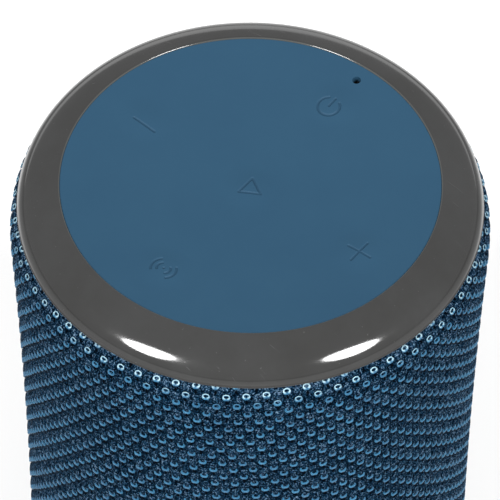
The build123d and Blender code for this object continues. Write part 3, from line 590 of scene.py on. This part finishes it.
def topRing(shape):
    fillet, bead = shape["innerFillet"], shape["bead"]
    top = ringHigh.z
    floor = top - shape["drop"] - shape["lipHeight"]
    crest = (shape["crest"] + fillet, top)
    lip = (shape["lip"] - 0.5 * bead, top - shape["drop"])
    outline = arc((crest[0], top - fillet), fillet, 180, 98, 5)
    outline += ringFace(crest, lip, shape)
    outline += arc((shape["lip"] - bead, floor + bead), bead, 25, -90, 7)
    skirtIn, skirtDepth = shape["skirt"]
    outline += [(shape["lip"] - skirtIn, floor), (shape["lip"] - skirtIn, top - skirtDepth)]
    outline += [(shape["crest"], top - shape["innerDepth"])]
    return lathe("top_ring_bezel", outline, shape["turns"], paints["ring_gloss"])


def footRing(shape, under):
    # its face is the top ring's curve, carried over the foot's own sizes
    fillet, bead = under["innerFillet"], shape["bead"]
    low, top = footRingLow.z, sleeveLow.z
    inner, outer = under["opening"], footRingHigh.x
    start = (inner + under["land"], low)
    lip = (outer - 0.5 * bead, top - shape["lipHeight"])
    outline = arc((start[0], low + fillet), fillet, 180, 262, 5)
    outline += ringFace(start, lip, shape)
    outline += arc((outer - bead, top - bead), bead, -25, 90, 7)
    near, far = (outer - distance for distance in under["skirt"])
    upper, floor = top + under["skirtHeight"], low + under["floor"]
    outline += [(near, top), (near, upper), (far, upper), (far, floor), (inner, floor)]
    return lathe("foot_ring_trim", outline, shape["turns"], paints["ring_gloss"])


for ring, node in ((topRing(ringShape), "top_ring"), (footRing(ringShape, footRingShape), "bottom_ring")):
    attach(ring, "speaker")
    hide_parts(node)
print("rings turned")


# keypad: one soft skin with a gently raised pad over each key
padShape = {
    "radius": 5.6 * mm,
    "rise": 0.2 * mm,
    "dishDepth": 2.0 * mm,
    "thickness": 1.4 * mm,
    "rings": 60,
    "spokes": 200,
    "grooveDepth": 0.15 * mm,
    "grooveWidth": 0.42 * mm,
    "grooveSoftness": 0.16 * mm,
    "spread": 0.38,                     # how much closer than evenly the inner rings stand
    "squash": 0.1,                      # what is left of a cap's thickness at its key's limit
    "gridStep": 0.9 * mm,
    "rimClear": 0.6,                    # the grid's points keep this share of a step from the rim
    "holeClear": 0.5,                   # and this share from the holes
    "rimPoints": 240,
    "holePoints": 40,
    "holeRadius": 0.8 * mm,
    "microphoneFromAxis": 31.4 * mm,
}
# each key's symbol: its size, and how far off the middle of the pad it is
symbols = {
    "power": (4.1 * mm, (-0.46 * mm, -1.07 * mm)),
    "minus": (4.8 * mm, (0.67 * mm, -1.03 * mm)),
    "pairing": (4.6 * mm, (0, 0)),
    "plus": (4.8 * mm, (0, 0)),
    "play": (4.6 * mm, (0, 0)),
}
keyNames = tuple(symbols)


def keyCentre(name):
    low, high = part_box(f"{name}_key_pad")
    return Vector(((low.x + high.x) / 2, (low.y + high.y) / 2))


def dishHeight(radius):
    # the keypad's own gentle hollow, a shallow ball shape that meets the ring at its edge
    edge, depth = skinHigh.x, padShape["dishDepth"]
    ball = (edge**2 + depth**2) / (2 * depth)
    return skinHigh.z - depth + ball - math.sqrt(ball**2 - radius**2)


def toStroke(point, start, end):
    # distance from a point to a straight stroke
    along = end - start
    share = max(0.0, min(1.0, (point - start).dot(along) / along.length_squared))
    return (point - start - share * along).length


def toArc(point, radius, middle, half):
    # distance to an arc about the key's centre, given its middle direction and half width in degrees
    angle = math.degrees(math.atan2(point.y, point.x)) - middle
    angle = (angle + 180) % 360 - 180
    if abs(angle) <= half:
        return abs(point.length - radius)
    ends = [math.radians(middle + side * half) for side in (-1, 1)]
    return min((point - radius * Vector((math.cos(t), math.sin(t)))).length for t in ends)


def strokesPower(p, size):
    return min(toArc(p, size / 2, -90, 145), toStroke(p, Vector((0, 0.02 * size)), Vector((0, 0.5 * size))))


def strokesMinus(p, size):
    return toStroke(p, Vector((-size / 2, 0)), Vector((size / 2, 0)))


def strokesPlus(p, size):
    return min(strokesMinus(p, size), toStroke(p, Vector((0, -size / 2)), Vector((0, size / 2))))


def strokesPairing(p, size):
    waves = (toArc(p, share * size, middle, 42) for share in (0.27, 0.5) for middle in (0, 180))
    return min(p.length, *waves)


def strokesPlay(p, size):
    reach = 0.5 * size
    corners = [reach * Vector((math.cos(math.radians(t)), math.sin(math.radians(t)))) for t in (0, 120, 240)]
    return min(toStroke(p, corners[k], corners[(k + 1) % 3]) for k in range(3))


strokesOf = {
    "power": strokesPower,
    "minus": strokesMinus,
    "pairing": strokesPairing,
    "plus": strokesPlus,
    "play": strokesPlay,
}


def smoothStep(value):
    share = max(0.0, min(1.0, value))
    return share * share * (3 - 2 * share)


def grooveAt(name, place):
    # how deep the moulded symbol is at a place on its pad
    size, shift = symbols[name]
    edge = strokesOf[name](place - Vector(shift), size) - padShape["grooveWidth"] / 2
    return padShape["grooveDepth"] * smoothStep(0.5 - edge / padShape["grooveSoftness"])


def keyPatch(name):
    centre, shape = keyCentre(name), padShape
    vertices, faces, depths = [], [], []

    def addPoint(place):
        spot = centre + place
        swell = shape["rise"] * (0.5 + 0.5 * math.cos(math.pi * place.length / shape["radius"]))
        depths.append(grooveAt(name, place) / shape["grooveDepth"])
        height = dishHeight(spot.length) + swell - depths[-1] * shape["grooveDepth"]
        vertices.append((spot.x, spot.y, height))

    addPoint(Vector((0, 0)))
    spokes = shape["spokes"]
    for ring in range(1, shape["rings"] + 1):
        # rings stand close together where the symbol is, and wider apart outside it
        share = ring / shape["rings"]
        radius = shape["radius"] * ((1 - shape["spread"]) * share + shape["spread"] * share**3)
        for k in range(spokes):
            angle = 2 * math.pi * k / spokes
            addPoint(radius * Vector((math.cos(angle), math.sin(angle))))
    for k in range(spokes):
        faces.append((0, 1 + k, 1 + (k + 1) % spokes))
    for ring in range(shape["rings"] - 1):
        start = 1 + ring * spokes
        for k in range(spokes):
            here, there = start + k, start + (k + 1) % spokes
            faces.append((here, here + spokes, there + spokes, there))
    patch = linkMesh(f"{name}_key_cap", vertices, faces, paints["keypad_rubber"])
    # each point's depth in a groove, as a share, marks where the painted groove shade goes
    patch.data.attributes.new("groove", "FLOAT", "POINT").data.foreach_set("value", depths)
    thicken(patch, shape["thickness"])
    rimRise = dishHeight(shape["radius"]) - dishHeight(0)     # how much the dish curves up to the cap's rim
    anchor = (centre.x, centre.y, dishHeight(centre.length) + rimRise)
    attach(patch, "speaker")
    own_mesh(patch)
    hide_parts(f"{name}_key_pad")


def thicken(piece, wall):
    solid = piece.modifiers.new("wall", "SOLIDIFY")
    solid.thickness = wall
    solid.offset = -1
    settle(piece)
    piece.data.set_sharp_from_angle(angle=math.radians(50))


def circlePoints(centre, radius, count):
    turns = [2 * math.pi * k / count for k in range(count)]
    return [Vector((centre.x + radius * math.cos(t), centre.y + radius * math.sin(t))) for t in turns]


def keypadSkin():
    # a flat triangle mesh with round holes, lifted onto the dish
    shape = padShape
    rims = [circlePoints(Vector((0, 0)), skinHigh.x, shape["rimPoints"])]
    holes = [(keyCentre(name), shape["radius"], shape["spokes"]) for name in keyNames]
    holes.append((Vector((0, shape["microphoneFromAxis"])), shape["holeRadius"], shape["holePoints"]))
    rims += [circlePoints(*hole) for hole in holes]
    points, edges = [], []
    for rim in rims:
        start = len(points)
        points += rim
        edges += [(start + k, start + (k + 1) % len(rim)) for k in range(len(rim))]
    step = shape["gridStep"]
    rows = int(skinHigh.x / step) + 1
    for i in range(-rows, rows + 1):
        for j in range(-2 * rows, 2 * rows + 1):
            spot = Vector((step * (j + 0.5 * (i % 2)), step * i * math.sqrt(3) / 2))
            clearRim = spot.length < skinHigh.x - shape["rimClear"] * step
            if clearRim and all((spot - c).length > r + shape["holeClear"] * step for c, r, n in holes):
                points.append(spot)
    found = delaunay_2d_cdt(points, edges, [], 0, 1e-9)
    spots, triangles = found[0], found[2]
    vertices = [(p.x, p.y, dishHeight(min(p.length, skinHigh.x))) for p in spots]

    def inHole(triangle):
        middle = sum((spots[k] for k in triangle), Vector((0, 0))) / 3
        return any((middle - c).length < r for c, r, n in holes) or middle.length > skinHigh.x

    faces = [t for t in triangles if not inHole(t)]
    skin = linkMesh("keypad_top", vertices, faces, paints["keypad_rubber"])
    repairNormals(skin)
    if skin.data.polygons[0].normal.z < 0:
        skin.data.flip_normals()
    thicken(skin, shape["thickness"])
    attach(skin, "speaker")
    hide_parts("keypad_skin")


keypadSkin()
for name in keyNames:
    keyPatch(name)
print("keypad moulded")


# knitted sleeve
knitShape = {
    "stitchesRound": 75.45,         # the courses climb, so this isn't a whole number
    "turnAcross": 69,               # once round is this many stitches along a course
    "turnDown": 12,                 # and this many half rows down
    "rowStep": 2.143 * mm,          # from one half row to the next, straight down
    "waleLean": 0.0031,             # radians round for each half row down
    "lean": 4.5,                    # degrees that the stitches are turned
    "markAngle": -51.62,            # one blue stitch's place: degrees round, and below the top
    "markDepth": 16.6 * mm,
    "underSurface": 0.45 * mm,      # the backing lies this far inside the sleeve's outer surface
    "backingWall": 1.2 * mm,
    "shoulder": 8.0 * mm,
    "fullness": 3.0 * mm,
    "edgeRadius": 42.2 * mm,
    "waist": 0.65 * mm,
    "shoulderSwell": 0.1 * mm,
    "portMargin": 0.9 * mm,
    "portCorner": 3.0 * mm,
    "portCut": (0.6, 1.2),          # where the port's cut starts and ends, as shares of the sleeve's radius
    "pieces": 3,                    # each yarn is made in this many pieces down the sleeve
    "reach": {"blue": 0.3 * mm, "dark": 3.5 * mm},      # how far above the sleeve a stitch may start
    "overEnd": 0.3 * mm,            # how far past the sleeve's end the lowest stitch may reach
    "gather": {"blue": 0.0, "dark": 0.15},              # how much a stitch shortens close under the ring
    "gatherFrom": (2.0 * mm, 0.3 * mm),
    "jitter": {"angle": 0.0016, "length": 0.07 * mm, "lean": 0.05},
    "backingTurns": 240,
}


def sleeveOutline(inset, steps=24):
    # from the top edge under the ring, down over the shoulder and the waisted side, to the bottom edge
    shape = knitShape
    full, edge = sleeveHigh.x - inset, shape["edgeRadius"] - inset
    low, high = sleeveLow.z, sleeveHigh.z

    def shoulder(z, way):
        level = z - way * inset
        start = (full, z - way * shape["shoulder"])
        swell = (full, z - way * shape["fullness"])
        middle = ((full + edge) / 2 + shape["shoulderSwell"], level)
        return bezier((start, swell, middle, (edge, level)), steps)

    topSide, lowSide = high - shape["shoulder"], low + shape["shoulder"]
    side = []
    for k in range(1, 2 * steps):
        share = k / (2 * steps)
        z = topSide + (lowSide - topSide) * share
        side.append((full - shape["waist"] * (1 - (2 * share - 1) ** 2), z))
    return shoulder(high, 1)[::-1] + side + shoulder(low, -1)


def profileCurve(points):
    curve = bpy.data.curves.new("sleeveProfile", "CURVE")
    curve.dimensions = "3D"
    spline = curve.splines.new("POLY")
    spline.points.add(len(points) - 1)
    for spot, (r, z) in zip(spline.points, points):
        spot.co = (r, 0, z, 1)
    guide = bpy.data.objects.new("sleeveProfile", curve)
    bpy.context.scene.collection.objects.link(guide)
    return guide


def lengthTo(points, height):
    # how far along the profile the first point at this height is, or its whole length
    total = 0.0
    for (r0, z0), (r1, z1) in zip(points, points[1:]):
        step = math.hypot(r1 - r0, z1 - z0)
        if z1 <= height:
            return total + step * (z0 - height) / (z0 - z1)
        total += step
    return total


def stitchTree():
    # lays one stitch shape over the sleeve on a leaning lattice that closes round it
    tree = bpy.data.node_groups.new("knitLattice", "GeometryNodeTree")
    ids = {}
    needed = {
        "Object": ("Stitch", "Profile"),
        "Int": ("Across", "Down", "Seed"),
        "Float": (
            "First Angle", "First Length", "Across Angle", "Across Rise", "Down Angle", "Down Length",
            "From Length", "To Length", "Lean", "Gather",
        ),
        "Vector": ("Port Low", "Port High"),
        "Material": ("Material",),
    }
    for kind, names in needed.items():
        for name in names:
            socket = tree.interface.new_socket(name, in_out="INPUT", socket_type=f"NodeSocket{kind}")
            ids[name] = socket.identifier
    tree.interface.new_socket("Geometry", in_out="OUTPUT", socket_type="NodeSocketGeometry")
    entry = tree.nodes.new("NodeGroupInput")
    given = {name: Socket(tree, entry.outputs[name]) for name in ids}

    def add(kind, settings=None, inputs=None, output=0):
        return addNode(tree, kind, settings, inputs, output)

    def onSleeve(length, angle, height=0.0):
        # the point of the sleeve at a length down its profile and an angle round it, stood off by a height
        sampler = {"Curves": profile, "Length": length}
        place = add("GeometryNodeSampleCurve", {"mode": "LENGTH"}, sampler, 1)
        downward = Socket(tree, place.output.node.outputs[2])
        outward = add("ShaderNodeCombineXYZ", {}, {
            0: separated(tree, place, 0) - separated(tree, downward, 2) * height,
            2: separated(tree, place, 2) + separated(tree, downward, 0) * height,
        })
        turn = angle(separated(tree, place, 0)) if callable(angle) else angle
        return add("ShaderNodeVectorRotate", {"rotation_type": "Z_AXIS"}, {"Vector": outward, "Angle": turn})

    profile = add("GeometryNodeObjectInfo", {}, {"Object": given["Profile"]}, 4)
    points = add("GeometryNodePoints", {}, {"Count": given["Across"] * given["Down"]})
    index = add("GeometryNodeInputIndex")
    column = (index / given["Down"] + 1e-4).math("FLOOR")
    row = index - column * given["Down"]
    span = {2: -1.0, 3: 1.0, "ID": index}
    jitter = [
        add("FunctionNodeRandomValue", {"data_type": "FLOAT"}, {**span, "Seed": given["Seed"] + k}, 1)
        for k in range(4)
    ]
    most = knitShape["jitter"]
    angle = given["First Angle"] + column * given["Across Angle"] + row * given["Down Angle"]
    angle = angle + jitter[0] * most["angle"]
    length = given["First Length"] - column * given["Across Rise"] + row * given["Down Length"]
    length = length + jitter[1] * most["length"]
    spot = onSleeve(length, angle)

    def compare(operation, a, b):
        return add("FunctionNodeCompare", {"data_type": "FLOAT", "operation": operation}, {0: a, 1: b})

    def both(operation, a, b):
        return add("FunctionNodeBooleanMath", {"operation": operation}, {0: a, 1: b})

    above = compare("LESS_THAN", length, given["From Length"])
    below = compare("GREATER_EQUAL", length, given["To Length"])
    removed = both("OR", above, below)
    inPort = None
    for axis in range(3):
        value = separated(tree, spot, axis)
        low, high = (separated(tree, given[side], axis) for side in ("Port Low", "Port High"))
        within = both("AND", compare("GREATER_THAN", value, low), compare("LESS_THAN", value, high))
        inPort = within if inPort is None else both("AND", inPort, within)
    removed = both("OR", removed, inPort)
    # what belongs to a stitch is worked out on its point, and goes with it to each corner of its mesh
    points = storeNamed(tree, points, "tone", jitter[3] * 0.5 + 0.5)
    points = storeNamed(tree, points, "stitchAngle", angle)
    points = storeNamed(tree, points, "stitchLength", length)
    points = storeNamed(tree, points, "stitchLean", given["Lean"] + jitter[2] * most["lean"])
    doomed = {"Geometry": points, "Selection": removed}
    points = add("GeometryNodeDeleteGeometry", {"domain": "POINT"}, doomed)
    stitch = add("GeometryNodeObjectInfo", {}, {"Object": given["Stitch"]}, 4)
    made = add("GeometryNodeInstanceOnPoints", {}, {"Points": points, "Instance": stitch})
    made = add("GeometryNodeRealizeInstances", {}, {0: made})
    # each stitch was drawn flat, and is now laid over the sleeve's curve, corner by corner
    known = {}
    for name in ("stitchAngle", "stitchLength", "stitchLean"):
        known[name] = add("GeometryNodeInputNamedAttribute", {"data_type": "FLOAT"}, {"Name": name})
    drawn = add("GeometryNodeInputPosition")
    lean = known["stitchLean"]
    leaning = add("ShaderNodeVectorRotate", {"rotation_type": "Z_AXIS"}, {"Vector": drawn, "Angle": lean})
    across, upward, height = (separated(tree, leaning, axis) for axis in range(3))
    underRing = band(tree, known["stitchLength"], *knitShape["gatherFrom"])
    upward = upward * (1 - given["Gather"] * underRing)
    laid = onSleeve(
        known["stitchLength"] - upward,
        lambda radius: known["stitchAngle"] + across / radius,
        height,
    )
    made = add("GeometryNodeSetPosition", {}, {"Geometry": made, "Position": laid})
    made = add("GeometryNodeSetMaterial", {}, {"Geometry": made, "Material": given["Material"]})
    leave = tree.nodes.new("NodeGroupOutput")
    tree.links.new(made.output, leave.inputs[0])
    return tree, ids


def storeNamed(tree, geometry, name, value):
    inputs = {"Geometry": geometry, "Name": name, "Value": value}
    return addNode(tree, "GeometryNodeStoreNamedAttribute", {"data_type": "FLOAT", "domain": "POINT"}, inputs)


loopShape = {
    # right half of a loop from its foot round to its top: across, up, height off the backing, yarn radius
    "half": (
        (0.0, 0.20, 0.16, 0.23),
        (0.20, 0.22, 0.19, 0.27),
        (0.42, 0.34, 0.18, 0.27),
        (0.60, 0.52, 0.10, 0.18),
        (0.44, 0.91, -0.03, 0.15),
        (0.0, 1.04, -0.03, 0.17),
    ),
    "sides": 6,
    "flatness": 0.65,       # the yarn lies this much flatter than it is wide
}


def yarnLoop(shape):
    # one closed loop of blue yarn, lying on the fabric with its foot standing out
    right = [[value * mm for value in spot] for spot in shape["half"]]
    left = [[-spot[0], *spot[1:]] for spot in right[-2:0:-1]]
    spine = right + left
    count, sides, flatness = len(spine), shape["sides"], shape["flatness"]
    shell = bmesh.new()
    strand = shell.loops.layers.uv.new("strand")
    rows = []
    for k in range(count):
        here = Vector(spine[k][:3])
        ahead = (Vector(spine[(k + 1) % count][:3]) - Vector(spine[k - 1][:3])).normalized()
        side = ahead.cross(Vector((0, 0, 1))).normalized()
        above = side.cross(ahead)
        ring = []
        for n in range(sides):
            turn = 2 * math.pi * n / sides
            outward = math.cos(turn) * side + flatness * math.sin(turn) * above
            ring.append(shell.verts.new(here + spine[k][3] * outward))
        rows.append(ring)
    for k in range(count):
        for n in range(sides):
            m, j = (n + 1) % sides, (k + 1) % count
            face = shell.faces.new((rows[k][n], rows[k][m], rows[j][m], rows[j][n]))
            marks = ((k, n), (k, n + 1), (k + 1, n + 1), (k + 1, n))
            for corner, (u, v) in zip(face.loops, marks):
                corner[strand].uv = (u / count, v / sides)
    return stitchObject("yarnLoop", shell)


def stitchObject(name, shell):
    for face in shell.faces:
        face.smooth = True
    bmesh.ops.recalc_face_normals(shell, faces=shell.faces)
    mesh = bpy.data.meshes.new(name)
    shell.to_mesh(mesh)
    shell.free()
    return bpy.data.objects.new(name, mesh)


tuftShape = {
    "halfWidth": 0.82 * mm,
    "top": -1.45 * mm,              # where the dark tuft starts, below the blue loop
    "bottom": -3.36 * mm,
    "topRise": 0.17 * mm,
    "bottomRise": 0.42 * mm,
    "buried": -0.2 * mm,
    "squareness": 0.2,              # how far the rounded outline fills out its corners
    "bluntness": 0.4,               # under 1, the tuft rises steeply from its edge
    "taper": 0.35,                  # how much narrower the lower end is
    "taperFrom": 0.45,              # how far down the tuft the taper starts, as a share
    # a disc of painted shade for the dark hole between loop and tuft: up, half width, half height, off the
    # backing
    "hole": (-0.58 * mm, 0.25 * mm, 0.40 * mm, 0.22 * mm),
    "holeCorners": 8,
}


def darkTuft(shape):
    # one puffed tuft of the heathered ground, fuller towards its lower end
    shell = bmesh.new()
    bmesh.ops.create_icosphere(shell, subdivisions=2, radius=1.0)
    for point in shell.verts:
        x, y, z = point.co
        filled = 1 + shape["squareness"] * (1 - abs(x * x - y * y))
        share = 0.5 - 0.5 * y * filled
        down = shape["top"] + (shape["bottom"] - shape["top"]) * share
        rise = shape["topRise"] + (shape["bottomRise"] - shape["topRise"]) * min(1.0, max(0.0, share))
        height = rise * z ** shape["bluntness"] if z > 0 else -shape["buried"] * z
        narrowed = 1 - shape["taper"] * max(0.0, share - shape["taperFrom"]) / (1 - shape["taperFrom"])
        point.co = Vector((x * filled * narrowed * shape["halfWidth"], down, height))
    # a black disc of painted shade, for the shadowed hole under the loop
    mark = shell.loops.layers.uv.new("hole")
    up, halfWide, halfTall, raised = shape["hole"]
    corners = shape["holeCorners"]
    turns = [2 * math.pi * n / corners for n in range(corners)]
    rim = [shell.verts.new((halfWide * math.cos(t), up + halfTall * math.sin(t), raised)) for t in turns]
    for corner in shell.faces.new(rim).loops:
        corner[mark].uv = (1, 0)
    return stitchObject("darkTuft", shell)


def knitPieces():
    made = []
    shape = knitShape
    ground = sleeveOutline(shape["underSurface"])
    guide = profileCurve(ground)
    total = lengthTo(ground, -1)
    acrossAngle = 2 * math.pi / shape["stitchesRound"]
    climb = shape["turnDown"] * shape["rowStep"] / (2 * math.pi)     # rise for each radian round
    downAngle = acrossAngle / 2 + shape["waleLean"]
    downLength = shape["rowStep"] - climb * downAngle
    markLength = lengthTo(ground, speakerTop - shape["markDepth"])
    above = math.ceil(markLength / downLength) + 1
    rows = above + math.ceil((total - markLength) / downLength) + shape["turnDown"] + 2
    portLow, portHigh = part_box("port_bezel")
    margin = Vector((1, 0, 1)) * shape["portMargin"]
    tree, ids = stitchTree()
    kinds = {
        "blue": (yarnLoop(loopShape), blueYarn),
        "dark": (darkTuft(tuftShape), paints["knit"]),
    }
    pieces = shape["pieces"]
    for colour, (stitch, paint) in kinds.items():
        reach = shape["reach"][colour]
        starts = [total * part / pieces for part in range(pieces)] + [total + shape["overEnd"] - reach]
        starts[0] = -reach
        for part in range(pieces):
            host = linkMesh(f"knit_{colour}_{part + 1}", [], [], paint)
            lattice = host.modifiers.new("lattice", "NODES")
            lattice.node_group = tree
            values = {
                "Stitch": stitch,
                "Profile": guide,
                "Across": shape["turnAcross"],
                "Down": rows,
                "First Angle": math.radians(shape["markAngle"]) - above * downAngle,
                "First Length": markLength - above * downLength,
                "Across Angle": acrossAngle,
                "Across Rise": climb * acrossAngle,
                "Down Angle": downAngle,
                "Down Length": downLength,
                "From Length": starts[part],
                "To Length": starts[part + 1],
                "Lean": math.radians(shape["lean"]),
                "Gather": shape["gather"][colour],
                "Port Low": portLow - margin,
                "Port High": portHigh + margin + Vector((0, 1, 0)) * mm,
                "Seed": 3,
                "Material": paint,
            }
            for name, value in values.items():
                lattice[ids[name]] = value
            settle(host)
            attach(host, "speaker")
            made.append(host)
            print("knit", host.name, len(host.data.vertices), "points")
    for helper in (guide, *(stitch for stitch, paint in kinds.values())):
        bpy.data.objects.remove(helper)
    return made


def knitBacking(stitches):
    shape = knitShape
    outside = sleeveOutline(shape["underSurface"])
    inside = sleeveOutline(shape["underSurface"] + shape["backingWall"])
    backing = lathe("knit_sleeve", outside + inside[::-1], shape["backingTurns"], backingPaint, 60)
    low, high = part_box("port_bezel")
    near, far = (share * sleeveHigh.x for share in shape["portCut"])
    cutter = roundedBlock("portCutter", low, high, shape["portCorner"], near, far)
    cut = backing.modifiers.new("port", "BOOLEAN")
    cut.operation, cut.solver, cut.object = "DIFFERENCE", "EXACT", cutter
    settle(backing)
    bpy.data.objects.remove(cutter)
    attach(backing, "speaker")
    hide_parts("fabric_sleeve")
    around, tall = 2 * math.pi * sleeveHigh.x, lengthTo(outside, -1)


def roundedBlock(name, low, high, radius, near, far):
    # a bar along Y with rounded corners, to cut an opening with
    right, left, upper, lower = high.x - radius, low.x + radius, high.z - radius, low.z + radius
    corners = ((right, upper), (left, upper), (left, lower), (right, lower))
    outline = []
    for k, corner in enumerate(corners):
        outline += arc(corner, radius, 90 * k, 90 * k + 90, 6)
    count = len(outline)
    vertices = [(x, y, z) for y in (near, far) for x, z in outline]
    faces = [tuple(range(count)), tuple(range(2 * count - 1, count - 1, -1))]
    faces += [(k, k + count, (k + 1) % count + count, (k + 1) % count) for k in range(count)]
    block = linkMesh(name, vertices, faces, paints["case_plastic"], False)
    repairNormals(block)
    return block


knitBacking(knitPieces())
print("sleeve knitted")


# studio
studio = {
    "world": (1.0, 1.0, 1.0),
    "worldStrength": 0.5,
    "floor": 4.0,
    "floorNear": (0.76, 0.76, 0.76),    # painted light: the floor is palest under the speaker, where its shadow falls, and away behind it
    "floorFar": (0.30, 0.30, 0.30),
    "floorFade": (0.21, 0.36),
    "floorStretch": (1.3, 0.42, 1),     # so the pale patch is narrow across the view and long along it
    "floorBehind": 0.45,                # how far behind the speaker the patch has its middle
    # each softbox: degrees round from the camera's own side, degrees up, then distance, width, height and
    # watts; the wide dim one at the back only shades the far side of the ring
    "softboxes": {
        "left": (-46.5, 38, 1.2, 0.41, 0.62, 22),
        "right": (47.5, 38, 1.2, 0.43, 0.62, 22),
        "back": (180, -4, 1.5, 3.6, 0.6, 4.8),
    },
}


def softbox(name, around, up, far, width, height, watts):
    data = bpy.data.lights.new(name, "AREA")
    data.shape = "ELLIPSE"
    data.size, data.size_y, data.energy = width, height, watts
    light = bpy.data.objects.new(name, data)
    bpy.context.scene.collection.objects.link(light)
    turn = math.radians(cameraSetup["azimuth"] + around)
    lift = math.radians(up)
    toward = Vector((math.sin(turn) * math.cos(lift), -math.cos(turn) * math.cos(lift), math.sin(lift)))
    light.location = Vector((0, 0, speakerTop)) + toward * far
    light.rotation_mode = "QUATERNION"
    light.rotation_quaternion = toward.to_track_quat("Z", "Y")


def makeStudio(setup):
    world = bpy.data.worlds.new("studioWorld")
    world.use_nodes = True
    background = world.node_tree.nodes["Background"]
    background.inputs[0].default_value = (*setup["world"], 1)
    background.inputs[1].default_value = setup["worldStrength"]
    bpy.context.scene.world = world
    size = setup["floor"]
    material, tree, shader = newPaint("paleFloor", {"Roughness": 0.8, "Specular IOR Level": 0.1})
    turned = objectPlace(tree, (1, 1, 1), (0, 0, -math.radians(cameraSetup["azimuth"])))
    stretch = setup["floorStretch"]
    shift = (0, -setup["floorBehind"] * stretch[1], 0)
    patch = addNode(tree, "ShaderNodeMapping", {}, {"Vector": turned, "Scale": stretch, "Location": shift})
    away = addNode(tree, "ShaderNodeVectorMath", {"operation": "LENGTH"}, {0: patch}, 1)
    floorPaintedLight = mixColour(tree, band(tree, away, *setup["floorFade"]), setup["floorNear"], setup["floorFar"])
    feed(shader, "Base Color", floorPaintedLight)
    corners = [(-size, -size, 0), (size, -size, 0), (size, size, 0), (-size, size, 0)]
    floor = linkMesh("studio_floor", corners, [(0, 1, 2, 3)], material, False)
    for name, values in setup["softboxes"].items():
        softbox(f"softbox_{name}", *values)
    bpy.context.scene.view_settings.view_transform = "Standard"


makeStudio(studio)
print("studio lit")
